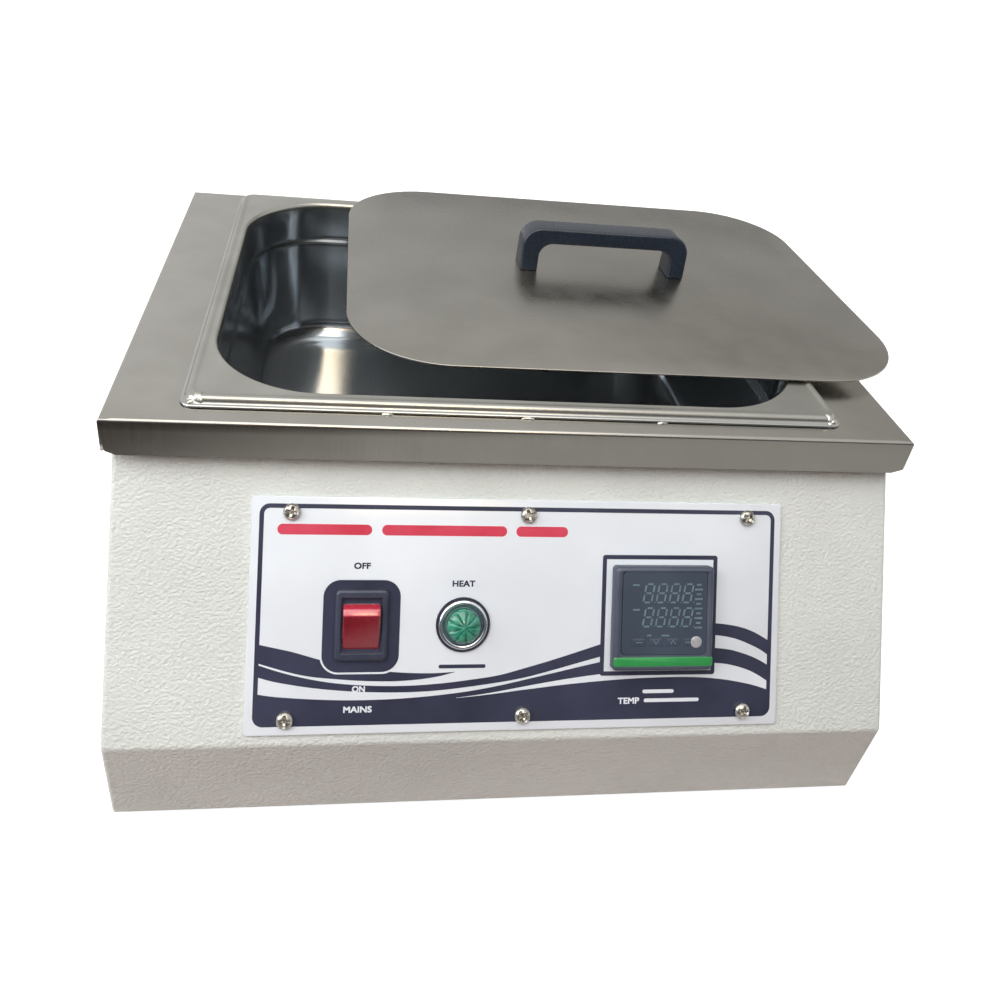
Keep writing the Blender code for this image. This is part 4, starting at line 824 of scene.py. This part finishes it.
def print_word(word, across, drop, height, width, finish):
    """A plain word as a thin mesh of ink, fitted to a height and a width about its middle.

    The outlines of the letters are laid down four times, moved by the same amount to each corner
    of a square, which makes the strokes bolder.
    """
    name = "word_" + word.lower()
    text = bpy.data.curves.new(name, "FONT")
    text.body = word
    text.align_x = "CENTER"
    text.resolution_u = 4
    text.extrude = 0.5
    source = bpy.data.objects.new(name, text)
    bpy.context.scene.collection.objects.link(source)
    graph = bpy.context.evaluated_depsgraph_get()
    mesh = bpy.data.meshes.new_from_object(source.evaluated_get(graph))
    bpy.data.objects.remove(source)
    shape = bmesh.new()
    for right, up, out in ((-1, -1, 0), (2, 0, 0.06), (0, 2, 0.06), (-2, 0, 0.06)):
        mesh.transform(Matrix.Translation((right * WORD_BOLD, up * WORD_BOLD, out)))
        shape.from_mesh(mesh)
    bmesh.ops.remove_doubles(shape, verts=shape.verts, dist=1e-5)
    bmesh.ops.recalc_face_normals(shape, faces=shape.faces)
    shape.to_mesh(mesh)
    shape.free()
    points = np.empty(len(mesh.vertices) * 3, np.float32)
    mesh.vertices.foreach_get("co", points)
    points = points.reshape(-1, 3).astype(float)
    low, high = points.min(0), points.max(0)
    points = (points - (low + high) / 2) / (high - low) * np.array((width, height, 4 * INK))
    points += (across, -drop, LABEL_FACE + INK)
    mesh.vertices.foreach_set("co", on_front(points).astype(np.float32).ravel())
    mesh.update()
    piece = bpy.data.objects.new(name, mesh)
    bpy.context.scene.collection.objects.link(piece)
    settle(piece, finish, "label_face", "cabinet")


for row in WORDS:
    print_word(*row)

# Mains switch
# A black nylon housing snapped through the plate, with a stepped collar on the face. The rocker is a
# translucent red moulding with a rounded nose at its top end and a flat face below it.
PANEL_SEAT = 0.0016
COLLAR = 0.002


def stepped_rows(centre_x, centre_drop, levels, steps=6):
    """Rounded rectangles about a point of the front, by half widths, half heights, corner and out."""
    rows = []
    for half_x, half_y, corner, out in levels:
        loop = rounded_loop(centre_x - half_x, centre_x + half_x, centre_drop - half_y,
                            centre_drop + half_y, corner, steps)
        rows.append(lift(loop, out))
    return np.stack(rows)


COLLAR_FACE = PANEL_SEAT + COLLAR
housing_levels = (
    (0.0111, 0.0141, 0.0006, -0.024), (0.0111, 0.0141, 0.0006, PANEL_SEAT),
    (0.0126, 0.01675, 0.0022, PANEL_SEAT), (0.0126, 0.01675, 0.0022, PANEL_SEAT + 0.0010),
    (0.0124, 0.01655, 0.0020, PANEL_SEAT + 0.0014), (0.0119, 0.01605, 0.0017, PANEL_SEAT + 0.0016),
    (0.0116, 0.01575, 0.0014, PANEL_SEAT + 0.0017), (0.0113, 0.01545, 0.0013, COLLAR_FACE),
    (0.0099, 0.01335, 0.0008, COLLAR_FACE), (0.0096, 0.01300, 0.0006, COLLAR_FACE - 0.0003),
    (0.0096, 0.01300, 0.0005, -0.0128),
)
housing_plastic = new_finish(
    "housing_plastic", 0.01, (0.17, 0.19, 0.26), (0.21, 0.23, 0.31), (0.002, 0.32, 0.46),
    roughness=0.38,
)
face_height = Vector(FRONT_OUT).dot(Vector((MIDDLE_X, FACE_TOP_Y, FACE_TOP_Z)))
# Lower than the collar's face the colour is painted darker, down to near-black with a red tinge, and the
# specular fades out: painted shade in the recess, with a painted red glow from the rocker.
depth = slide(housing_plastic, FRONT_OUT, face_height - 0.0005, face_height + COLLAR_FACE - 0.0003)
overlay(housing_plastic, depth, (0.012, 0.003, 0.004, 1))
vary(housing_plastic, depth, "Specular IOR Level", 0.0, 0.5, 0, 1)
add_piece(
    "switch_collar", closed(stepped_rows(SWITCH_X, SWITCH_DROP, housing_levels)),
    housing_plastic, "black_plastic", "cabinet", "switch_housing",
)
PIVOT_OUT = -0.0005
ROCKER_HALF = 0.0087
ROCKER_LINE = (
    (0.0095, -0.0060), (0.0100, 0.0000), (0.0099, 0.0032), (0.0084, 0.0068), (0.0052, 0.0076),
    (-0.0113, 0.0020), (-0.0118, 0.0010), (-0.0114, -0.0040), (0.0, -0.0075),
)
ROCKER_BENDS = (0.002, 0.0010, 0.0010, 0.0024, 0.0006, 0.0006, 0.001, 0.001)


def rocker_rows():
    """The rocker's side outline carried across its width, drawn in a little at both cheeks.

    Each row is the outline scaled about the pivot: less at the ends, so that the edges round off.
    """
    first = np.array(ROCKER_LINE)
    line = bent_line(np.vstack((first, first[:1])), ROCKER_BENDS, 5)[:-1]
    cheek = np.array((0, 0.0001, 0.0004, 0.0009))
    across = np.concatenate((-ROCKER_HALF + cheek, (ROCKER_HALF - cheek)[::-1]))
    inset = np.array((0.0007, 0.0004, 0.00012, 0))
    inset = np.concatenate((inset, inset[::-1]))
    size = np.linalg.norm(line, axis=1)
    rows = line[None] * (1 - inset[:, None, None] / size[:, None])
    x = np.broadcast_to(SWITCH_X + across[:, None], rows.shape[:2])
    return on_front(np.stack((x, rows[..., 0] - SWITCH_DROP, rows[..., 1] + PIVOT_OUT), -1))


red_moulding = new_finish(
    "red_moulding", 0.012, (0.50, 0.08, 0.14), (0.57, 0.11, 0.18), (0.003, 0.16, 0.28),
    roughness=0.24, coat_weight=1.0, coat_roughness=0.1, subsurface_weight=0.15, subsurface_scale=0.001,
)
DOWN_SLOPE = (0, -math.sin(FRONT_SLANT), -math.cos(FRONT_SLANT))
pivot_height = Vector(DOWN_SLOPE).dot(Vector(on_front((SWITCH_X, -SWITCH_DROP, PIVOT_OUT))))
# The top end above the ridge is painted a lighter red: a painted highlight where the nose faces up to the
# light.
nose = slide(red_moulding, DOWN_SLOPE, pivot_height - 0.0057, pivot_height - 0.0049)
overlay(red_moulding, nose, tint(0.78, 0.22, 0.30))
add_piece(
    "red_rocker", closed(rocker_rows()),
    red_moulding, "red_rocker", "rocker", "switch_rocker", sharp=40,
)

# Heat lamp
# A chromed bezel ring pushed through the plate, and a green lens of clear acrylic with nine
# grooves moulded into its crown, which stands out of the ring.
RING_STEPS = 96
LENS_GROOVES = 9
GROOVE_DEPTH = 0.0011
WASHER_PROFILE = (
    (0.0120, PANEL_SEAT), (0.01315, PANEL_SEAT), (0.01315, 0.0021), (0.0130, 0.0023), (0.0120, 0.0023),
    (0.0120, PANEL_SEAT),
)
THROAT_PROFILE = (
    (0.0083, -0.0050), (0.0095, -0.0050), (0.0095, 0.0029), (0.0091, 0.0027), (0.0086, 0.0022),
    (0.0083, 0.0016), (0.0083, -0.0050),
)
RING_PROFILE = (
    (0.0, -0.0200), (0.0098, -0.0200), (0.0098, PANEL_SEAT), (0.0119, PANEL_SEAT), (0.0119, 0.0025),
    (0.0118, 0.0029), (0.0115, 0.0032), (0.0110, 0.0034), (0.0105, 0.0034), (0.0100, 0.0033),
    (0.0097, 0.0030), (0.0096, 0.0026), (0.0096, -0.0060), (0.0, -0.0060),
)
LENS_PROFILE = (
    (0.0, -0.0057), (0.0080, -0.0057), (0.0081, 0.0054), (0.0080, 0.0061), (0.0076, 0.0067),
    (0.0068, 0.0073), (0.0057, 0.0079), (0.0044, 0.0084), (0.0031, 0.0088), (0.0019, 0.0090),
    (0.0009, 0.0091), (0.0, 0.0091),
)


def turned_rows(profile, grooves=0, depth=0.0):
    """A profile turned about the lamp's axis, with grooves cut into its outer face.

    A groove's depth follows a high power of the cosine of half the angle times the number of
    grooves, and fades out near the middle and near the rim.
    """
    radius, out = np.array(profile).T[:, :, None]
    radius = np.maximum(radius, 1e-5)
    angle = np.linspace(0, 2 * math.pi, RING_STEPS, endpoint=False)
    fade = np.clip((radius - 0.0010) / 0.0012, 0, 1) * np.clip((0.0081 - radius) / 0.0008, 0, 1)
    cut = depth * fade * np.abs(np.cos(angle * grooves / 2)) ** 18 * (out > 0.003)
    x = LAMP_X + radius * np.cos(angle)
    up = -LAMP_DROP + radius * np.sin(angle)
    return on_front(np.stack((x, up, out - cut), -1))


chrome = new_finish(
    "chrome_ring", 0.004, (0.80, 0.81, 0.84), (0.88, 0.89, 0.91), (0.002, 0.05, 0.12),
    metallic=1.0, roughness=0.08,
)
add_piece(
    "lamp_washer", [band(turned_rows(WASHER_PROFILE))],
    housing_plastic, "black_plastic", "cabinet", sharp=50,
)
add_piece(
    "lamp_ring", closed(turned_rows(RING_PROFILE)),
    chrome, "chrome_ring", "cabinet", "indicator_bezel", sharp=50,
)
# The throat ring's grey is a painted reflection: it stands for the surroundings seen, in shade, in the inner
# slope of the chromed bezel.
throat_painted_reflection = new_finish("throat_painted_reflection", 0.003, (0.36, 0.40, 0.46), (0.44, 0.48, 0.54), roughness=0.4)
add_piece(
    "lamp_throat", [band(turned_rows(THROAT_PROFILE))],
    throat_painted_reflection, "black_plastic", "cabinet", sharp=50,
)
green_acrylic = new_finish(
    "green_acrylic",
    roughness=0.08, transmission_weight=0.35, ior=1.49, coat_weight=0.5, coat_roughness=0.03,
)
mottle = cloudy(green_acrylic, 0.003, 4.0)
vary(green_acrylic, mottle, "Base Color", tint(0.12, 0.50, 0.40), tint(0.30, 0.70, 0.58))
add_piece(
    "lamp_lens", closed(turned_rows(LENS_PROFILE, LENS_GROOVES, GROOVE_DEPTH)),
    green_acrylic, "green_lens", "cabinet", "indicator_lens", sharp=50,
)

# Temperature controller
# A slate-grey moulded case that stands six millimetres out of the plate, with a smoked window, two
# rows of unlit figures, four flat keys along the window's foot and a green strip under it.
CONTROLLER_FACE = PANEL_SEAT + 0.0062
case_levels = (
    (0.0223, 0.0223, 0.0010, -0.056), (0.0223, 0.0223, 0.0010, PANEL_SEAT),
    (0.0255, 0.0255, 0.0018, PANEL_SEAT), (0.0255, 0.0255, 0.0018, CONTROLLER_FACE - 0.0018),
    (0.0253, 0.0253, 0.0018, CONTROLLER_FACE - 0.0010), (0.0248, 0.0248, 0.0017, CONTROLLER_FACE - 0.0004),
    (0.0242, 0.0242, 0.0016, CONTROLLER_FACE - 0.0001), (0.0237, 0.0237, 0.0016, CONTROLLER_FACE),
    (0.0232, 0.0232, 0.0016, CONTROLLER_FACE - 0.0001),
)
WINDOW_TOP = 0.0569
WINDOW_LOW = 0.0977
WINDOW_HALF = 0.0217
WINDOW_CORNER = 0.0024
WINDOW_FACE = 0.0074
WINDOW_GAP = 0.0003
WINDOW_SHEET = 0.0014
KEY_DROP = 0.0917
KEY_HALF = (0.0034, 0.0019)
KEY_CORNER = 0.0003
KEY_BOTTOM = 0.0060
KEY_RISE = 0.00015
KEYS = (("set", 0.05755), ("down", 0.06645), ("up", 0.07535), ("mode", 0.08425))
slate = new_finish(
    "slate_plastic", 0.02, (0.26, 0.29, 0.35), (0.30, 0.33, 0.39), (0.002, 0.32, 0.44),
    roughness=0.36,
)
emboss(slate, cloudy(slate, 0.0005, 1.0), 0.00008, 0.3)


def case_patches():
    """The case's outside in rounded rectangles, then its face with the window's well in it."""
    rows = [stepped_rows(CONTROLLER_X, CONTROLLER_DROP, case_levels)]
    for inset, deep in ((0, 0.0001), (0.0001, 0.0003), (0.0001, 0.0020)):
        edge = WINDOW_HALF + WINDOW_GAP - inset
        loop = rounded_loop(CONTROLLER_X - edge, CONTROLLER_X + edge, WINDOW_TOP - WINDOW_GAP + inset,
                            WINDOW_LOW + WINDOW_GAP - inset, WINDOW_CORNER, 6)
        rows.append(lift(loop, WINDOW_FACE - deep)[None])
    return closed(np.concatenate(rows))


def window_patches():
    """Rows of points across the window, drawn in at its corners, with the keys' places left out.

    Within a corner's height of either end a row is shorter by the corner's radius less the root
    of that radius squared less the height into the corner squared.
    """
    margin = 0.00006
    edges = [x - CONTROLLER_X + side * (KEY_HALF[0] + margin) for _, x in KEYS for side in (-1, 1)]
    across = np.sort(np.concatenate((np.linspace(-1, 1, 9) * WINDOW_HALF, edges)))
    turn = WINDOW_CORNER * (1 - np.cos(np.linspace(0, math.pi / 2, 8)))
    keys = KEY_DROP + np.array((-1, 1)) * (KEY_HALF[1] + margin)
    drops = np.sort(np.concatenate((WINDOW_TOP + turn, WINDOW_LOW - turn, keys, (0.07, 0.08))))
    near = np.minimum(drops - WINDOW_TOP, WINDOW_LOW - drops)
    into = np.clip(WINDOW_CORNER - near, 0, None)
    short = 1 - (WINDOW_CORNER - np.sqrt(WINDOW_CORNER**2 - into**2)) / WINDOW_HALF
    x = CONTROLLER_X + across * short[:, None]
    rows = on_front(np.stack((x, -drops[:, None] + x * 0, x * 0 + WINDOW_FACE), -1))
    middle_x = (across[1:] + across[:-1]) / 2 + CONTROLLER_X
    in_key = sum(np.abs(middle_x - x) < KEY_HALF[0] for _, x in KEYS) > 0
    in_row = np.abs((drops[1:] + drops[:-1]) / 2 - KEY_DROP) < KEY_HALF[1]
    return [band(rows, False, ~(in_row[:, None] & in_key))]


add_piece(
    "controller_shell", case_patches(),
    slate, "slate_plastic", "cabinet", "controller_case", sharp=35,
)
smoked = new_finish(
    "smoked_window", 0.03, (0.25, 0.29, 0.34), (0.27, 0.31, 0.37), (0.02, 0.23, 0.27),
    roughness=0.24,
)
add_piece(
    "controller_glass", window_patches(),
    smoked, "display_window", "cabinet", "controller_window", facing=FRONT_OUT, sheet=WINDOW_SHEET,
)
key_levels = [(*KEY_HALF, KEY_CORNER, KEY_BOTTOM), (*KEY_HALF, KEY_CORNER, WINDOW_FACE - 0.00002)]
for half_x, half_y, corner, rise in (
    (0.0032, 0.0017, 0.0008, 0.00005), (0.0028, 0.0014, 0.0009, 0.00010),
    (0.0021, 0.0009, 0.0006, 0.00014), (0.0010, 0.0004, 0.0003, KEY_RISE),
):
    key_levels.append((half_x, half_y, corner, WINDOW_FACE + rise))
for key, x in KEYS:
    add_piece(
        f"controller_bubble_{key}", closed(stepped_rows(x, KEY_DROP, key_levels, 4)),
        smoked, "slate_plastic", f"key_{key}", f"controller_key_{key}",
    )
green_print = new_finish(
    "green_print", 0.02, (0.15, 0.56, 0.27), (0.22, 0.62, 0.33),
    roughness=0.3, coat_weight=0.3, coat_roughness=0.1,
)
strip_levels = (
    (0.0254, 0.0023, 0.0010, CONTROLLER_FACE - 0.0006), (0.0254, 0.0023, 0.0010, CONTROLLER_FACE - 0.0004),
    (0.0250, 0.0022, 0.0010, CONTROLLER_FACE - 0.0001), (0.0246, 0.0020, 0.0009, CONTROLLER_FACE),
)
STRIP_DROP = CONTROLLER_DROP + 0.021
add_piece(
    "controller_band", closed(stepped_rows(CONTROLLER_X, STRIP_DROP, strip_levels)),
    green_print, "green_strip", "cabinet", "controller_strip",
)
pale_print = new_finish("pale_print", 0.004, (0.36, 0.45, 0.50), (0.44, 0.53, 0.57), roughness=0.35)


FIGURE_BAR = 0.00042
FIGURE_SLANT = 0.18
FIGURE_PITCH = 0.0067


def figure_patches(left, drop, width, height):
    """One unlit figure eight: seven bars with pointed ends, leaning by a share of their height."""
    point = np.array(((-1, 0), (-0.78, 1), (0.78, 1), (1, 0), (0.78, -1), (-0.78, -1)), float)
    half_w, half_h = width / 2, height / 4
    lying = point * (half_w * 0.72, FIGURE_BAR)
    standing = point[:, ::-1] * (FIGURE_BAR, half_h * 0.82)
    bars = [lying + (0, half_h * 2), lying, lying - (0, half_h * 2)]
    bars += [standing + (x, y) for x in (-half_w, half_w) for y in (-half_h, half_h)]
    patches = []
    for loop in bars:
        loop = loop + np.stack((loop[:, 1] * FIGURE_SLANT, loop[:, 1] * 0), -1)
        loop = loop + (left + half_w, -(drop + height / 2))
        patches += ink_pad(loop, 1, WINDOW_FACE)
    return patches


patches = []
for top in (0.0631, 0.0749):
    for column in range(4):
        shift = column * FIGURE_PITCH
        patches += figure_patches(0.0601 + shift, top, 0.0042, 0.0090)
        dot = rounded_loop(0.0651 + shift, 0.0656 + shift, top + 0.0087, top + 0.0092, 0.0002, 3)
        patches += ink_pad(dot, 1, WINDOW_FACE)
add_piece("controller_figures", patches, pale_print, "display_window", "cabinet", sharp=60)


def stroke(points, half, face=WINDOW_FACE):
    """A thin printed stroke through points of the window, with its width square to each leg."""
    points = np.array(points, float)
    leg = np.gradient(points, axis=0)
    leg /= np.linalg.norm(leg, axis=1)[:, None]
    aside = leg[:, ::-1] * (-1, 1) * half
    loop = np.vstack((points + aside, (points - aside)[::-1])) * (1, -1)
    return ink_pad(loop, 2, face)


patches = []
for row in range(10):
    drop = 0.0634 + row * 0.00235
    width = 0.0012 if row % 2 == 0 else 0.0020
    patches += stroke(((0.0880 - width, drop), (0.0880 + width, drop)), 0.00045)
for x, drop, width in ((0.0556, 0.0636, 0.0017), (0.0560, 0.0757, 0.0017), (0.0629, 0.0883, 0.0011),
                       (0.0712, 0.0884, 0.0020)):
    patches += stroke(((x - width, drop), (x + width, drop)), 0.0004)
add_piece("controller_marks", patches, pale_print, "display_window", "cabinet", sharp=60)
KEY_MARKS = {
    "set": ((0.0562, 0.0917), (0.0596, 0.0917)),
    "down": ((0.0652, 0.0908), (0.0665, 0.0926), (0.0678, 0.0908)),
    "up": ((0.0740, 0.0926), (0.0753, 0.0908), (0.0766, 0.0926)),
    "mode": ((0.0815, 0.0917), (0.0842, 0.0917)),
}
for key, points in KEY_MARKS.items():
    add_piece(
        f"key_mark_{key}", stroke(points, 0.00022, WINDOW_FACE + KEY_RISE),
        pale_print, "slate_plastic", f"key_{key}", sharp=60,
    )
pale_disc = new_finish("pale_disc", 0.003, (0.64, 0.64, 0.66), (0.72, 0.72, 0.74), roughness=0.4)
DISC_X = 0.0873
DISC_PROFILE = ((0.0029, -0.00002), (0.0029, 0.0002), (0.0027, 0.00032), (0.0018, 0.00040), (0.0006, 0.00043))
angle = np.linspace(0, 2 * math.pi, 48, endpoint=False)
disc_rows = [
    lift(np.stack((DISC_X + r * np.cos(angle), -KEY_DROP + r * np.sin(angle)), -1), WINDOW_FACE + rise)
    for r, rise in DISC_PROFILE
]
add_piece("controller_disc", closed(disc_rows), pale_disc, "display_window", "cabinet", sharp=60)

# Lid
# A flat stainless lid with large corners, left loose on the rim and pushed to the right and the
# rear. It has the same satin as the plate, with faint blotches from handling.
LID_X = 0.05315
LID_Y = 0.056546
LID_LOW = 0.20048
LID_SHEET = 0.0012
LID_WIDTH = 0.315
LID_DEPTH = 0.252
LID_CORNER = 0.0553
lid_levels = ((0.0003, 0.0), (0.0, 0.0003), (0.0, 0.0008), (0.00015, 0.00105), (0.0005, LID_SHEET))
lid_rows = [
    level_ring(LID_WIDTH - 2 * i, LID_DEPTH - 2 * i, LID_CORNER - i, 20, (LID_X, LID_Y), LID_LOW + out)
    for i, out in lid_levels
]
satin_lid = new_finish("satin_lid", metallic=1.0, roughness=0.3)
mottle = cloudy(satin_lid, 0.04, 5.0)
vary(satin_lid, mottle, "Base Color", tint(0.55, 0.54, 0.515), tint(0.585, 0.575, 0.55))
vary(satin_lid, cloudy(satin_lid, 0.02, 6.0), "Roughness", 0.25, 0.32)
emboss(satin_lid, cloudy(satin_lid, 0.0008, 2.0), 0.00001, 0.5)
add_piece("flat_lid", closed(lid_rows), satin_lid, "lid_stainless", "lid", "lid_sheet", sharp=50)

# Handle
# A black plastic bridge handle, moulded in one piece with rounded shoulders and edges, and screwed
# on from under the lid through both feet.
HANDLE_X = 0.05515
HANDLE_Y = 0.063046
HANDLE_LOW = 0.20198
HANDLE_HALF = 0.0532
HANDLE_WIDTH = 0.0155
HANDLE_FOOT_WIDTH = 0.021
HANDLE_HEIGHT = 0.0265
HANDLE_BAR = 0.0096
HANDLE_LEG = 0.0108
HANDLE_EDGE = 0.0014
HANDLE_OUTER_BEND = 0.0115
HANDLE_INNER_BEND = 0.0085


def handle_rows():
    """Rounded cross-sections from one foot over the bridge to the other.

    Each is set between matching points of the outer and the inner line: as thick as they are
    apart, as wide as the handle, with its corners rounded. Widths grow evenly towards the feet.
    """
    def line(half, height, radius):
        left = bent_line(((-half, 0), (-half, height), (0, height)), (radius,), 12)
        leg = left[:1] + (left[1:2] - left[:1]) * np.linspace(0, 1, 6)[:-1, None]
        bar = left[-2:-1] + (left[-1:] - left[-2:-1]) * np.linspace(0, 1, 6)[1:, None]
        half_line = np.vstack((leg, left[1:-1], bar))
        return np.vstack((half_line, (half_line * (-1, 1))[-2::-1]))

    outer = line(HANDLE_HALF, HANDLE_HEIGHT, HANDLE_OUTER_BEND)
    inner = line(HANDLE_HALF - HANDLE_LEG, HANDLE_HEIGHT - HANDLE_BAR, HANDLE_INNER_BEND)
    middle = (outer + inner) / 2
    across = outer - inner
    thick = np.linalg.norm(across, axis=1)
    across = across / thick[:, None]
    quarter = np.linspace(0, math.pi / 2, 6)
    turn = (np.arange(4)[:, None] * math.pi / 2 + quarter).ravel()
    sign_a = np.repeat((1, -1, -1, 1), 6)
    sign_b = np.repeat((1, 1, -1, -1), 6)
    a = sign_a * (thick[:, None] / 2 - HANDLE_EDGE) + HANDLE_EDGE * np.cos(turn)
    b = sign_b * (HANDLE_WIDTH / 2 - HANDLE_EDGE) + HANDLE_EDGE * np.sin(turn)
    x = middle[:, :1] + a * across[:, :1]
    z = middle[:, 1:] + a * across[:, 1:]
    flare = 1 + (HANDLE_FOOT_WIDTH / HANDLE_WIDTH - 1) * (1 - z / HANDLE_HEIGHT)
    return np.stack((HANDLE_X + x, HANDLE_Y + b * flare, HANDLE_LOW + z), -1)


handle_plastic = new_finish(
    "handle_plastic", 0.02, (0.09, 0.13, 0.18), (0.12, 0.16, 0.21), (0.002, 0.24, 0.36),
    roughness=0.3,
)
emboss(handle_plastic, cloudy(handle_plastic, 0.0007, 1.0), 0.0001, 0.25)
add_piece(
    "bridge_handle", closed(handle_rows()),
    handle_plastic, "black_plastic", "lid", "lid_handle", sharp=40,
)

# Floor and light
# A plain pale studio floor, which sends a bench's warm light up the front, one large soft lamp
# above and in front, weaker ones from the left and behind, and cards for the metal to show.
FLOOR_HALF = 8.0
FLOOR_GLOW = 0.72


def add_flat(name, corners, finish):
    """A flat piece of the studio, which is no part of the object. It returns the piece."""
    mesh = bpy.data.meshes.new(name)
    mesh.from_pydata(corners, [], [(0, 1, 2, 3)])
    mesh.materials.append(finish)
    flat = bpy.data.objects.new(name, mesh)
    bpy.context.scene.collection.objects.link(flat)
    return flat


def lying(left, right, near, far, z):
    """The corners of a flat that lies level."""
    return [(left, near, z), (right, near, z), (right, far, z), (left, far, z)]


def upright(left, right, y, low, high):
    """The corners of a flat that stands across the studio."""
    return [(left, y, low), (right, y, low), (right, y, high), (left, y, high)]


def seen_rays(finish):
    """One for rays from the camera and for those that metal or glass sends on, else nought."""
    rays = add_node(finish, "LightPath", {}).node.outputs
    total = rays["Is Camera Ray"]
    for kind in ("Is Glossy Ray", "Is Transmission Ray"):
        total = add_node(finish, "Math", {0: total, 1: rays[kind]}, 0, "MAXIMUM")
    return total


floor_paint = new_finish(
    "floor_paint", 1.5, (0.80, 0.80, 0.80), (0.81, 0.81, 0.81),
    roughness=0.9, emission_color=(1, 1, 1, 1), emission_strength=0.0,
)
behind = slide(floor_paint, (0, 1, 0), -0.17, -0.10)
pale = add_node(floor_paint, "Math", {0: behind, 1: seen_rays(floor_paint)}, 0, "MAXIMUM")
overlay(floor_paint, pale, tint(0.43, 0.21, 0.11))
glow = add_node(floor_paint, "Math", {0: seen_rays(floor_paint), 1: FLOOR_GLOW}, 0, "MULTIPLY")
feed(floor_paint, "Emission Strength", glow)
add_flat("studio_floor", lying(-FLOOR_HALF, FLOOR_HALF, -FLOOR_HALF, FLOOR_HALF, 0), floor_paint)

world = bpy.data.worlds.new("studio")
world.use_nodes = True
bpy.context.scene.world = world
nodes = world.node_tree.nodes
backdrop = nodes["Background"]
backdrop.inputs["Color"].default_value = (1, 1, 1, 1)
backdrop.inputs["Strength"].default_value = 1.0
rise = slide(world, (0, 0, 1), 0.05, 0.35)
shade = {"Fac": rise, "Color1": tint(0.72, 0.58, 0.50), "Color2": tint(0.99, 0.995, 1.0)}
dim = add_node(world, "Background", {"Color": add_node(world, "MixRGB", shade), "Strength": 0.42})
both = add_node(world, "MixShader", {"Fac": seen_rays(world), 1: dim, 2: backdrop.outputs[0]})
world.node_tree.links.new(both, nodes["World Output"].inputs["Surface"])

LAMP_TARGET = Vector((0, 0, 0.1))
LAMPS = (
    ("lamp_above", (-0.3, -0.8, 2.0), 1.9, 27, (1.0, 0.99, 0.97)),
    ("lamp_left", (-1.2, -0.5, 0.9), 0.9, 11, (0.97, 0.985, 1.0)),
    ("lamp_behind", (0.9, 1.5, 1.0), 1.2, 12, (1.0, 1.0, 1.0)),
)
for name, place, size, power, colour in LAMPS:
    light = bpy.data.lights.new(name, "AREA")
    light.size = size
    light.energy = power
    light.color = colour
    lamp = bpy.data.objects.new(name, light)
    lamp.location = place
    lamp.rotation_euler = (LAMP_TARGET - Vector(place)).to_track_quat("-Z", "Y").to_euler()
    lamp.visible_glossy = name != "lamp_behind"
    bpy.context.scene.collection.objects.link(lamp)

table_paint = new_finish("table_paint", roughness=0.9)
across = slide(table_paint, (1, 1.5, 0), -0.84, -0.64)
vary(table_paint, across, "Base Color", tint(0.13, 0.075, 0.055), tint(0.75, 0.745, 0.735), 0, 1)
room_paint = new_finish("room_paint", roughness=0.9, emission_strength=1.0, base_color=(0, 0, 0, 1))
vary(room_paint, cloudy(room_paint, 0.8), "Emission Color", tint(0.40, 0.40, 0.42), tint(0.46, 0.46, 0.48))
sky_paint = new_finish("sky_paint", roughness=0.9, emission_strength=1.0, base_color=(0, 0, 0, 1))
rise = slide(sky_paint, (-1, 0, 1), 0.1, 2.1)
vary(sky_paint, rise, "Emission Color", (0.56, 0.55, 0.53, 1), (1.0, 1.0, 1.0, 1), 0, 1)
window_light = new_finish(
    "window_light", 0.3, (0.8, 0.8, 0.8), (0.9, 0.9, 0.9),
    roughness=0.9, emission_color=(1.0, 0.70, 0.38, 1), emission_strength=8.0,
)
CARDS = (
    ("table_card", lying(-1.2, 1.2, -1.3, -0.2, 0.004), table_paint),
    ("room_card", upright(-3.0, 3.0, -1.3, 0.004, 0.75), room_paint),
    ("sky_card", upright(-2.5, 4.0, 2.2, 0.0, 3.4), sky_paint),
    ("window_card", upright(-0.32, 0.55, -2.0, 1.66, 2.25), window_light),
)
for name, corners, finish in CARDS:
    card = add_flat(name, corners, finish)
    card.visible_camera = False
    card.visible_shadow = False
    card.visible_diffuse = False

# Camera
# Placed where the photograph was taken from, worked out from the object's own edges in it.
CAMERA_TURN = math.radians(10.9245)
CAMERA_TILT = math.radians(31.2432)
CAMERA_ROLL = math.radians(7.7698)
FOCAL_PIXELS = 923.904
FRAME_PIXELS = 1000
MIDDLE_ACROSS = 490.293
MIDDLE_DOWN = 393.012
CAMERA_PLACE = (-0.10698, -0.469253, 0.433142)
SENSOR_WIDTH = 36
ahead = Vector((
    math.sin(CAMERA_TURN) * math.cos(CAMERA_TILT),
    math.cos(CAMERA_TURN) * math.cos(CAMERA_TILT),
    -math.sin(CAMERA_TILT),
))
level = Vector((math.cos(CAMERA_TURN), -math.sin(CAMERA_TURN), 0))
above = level.cross(ahead)
right = level * math.cos(CAMERA_ROLL) + above * math.sin(CAMERA_ROLL)
up = above * math.cos(CAMERA_ROLL) - level * math.sin(CAMERA_ROLL)
lens_data = bpy.data.cameras.new("camera")
lens_data.sensor_fit = "HORIZONTAL"
lens_data.sensor_width = SENSOR_WIDTH
lens_data.lens = SENSOR_WIDTH * FOCAL_PIXELS / FRAME_PIXELS
lens_data.shift_x = (FRAME_PIXELS / 2 - MIDDLE_ACROSS) / FRAME_PIXELS
lens_data.shift_y = (MIDDLE_DOWN - FRAME_PIXELS / 2) / FRAME_PIXELS
lens_data.clip_start = 0.01
camera = bpy.data.objects.new("camera", lens_data)
bpy.context.scene.collection.objects.link(camera)
turn = Matrix((right, up, -ahead)).transposed().to_4x4()
camera.matrix_world = Matrix.Translation(CAMERA_PLACE) @ turn
bpy.context.scene.camera = camera
bpy.context.scene.view_settings.view_transform = "Standard"
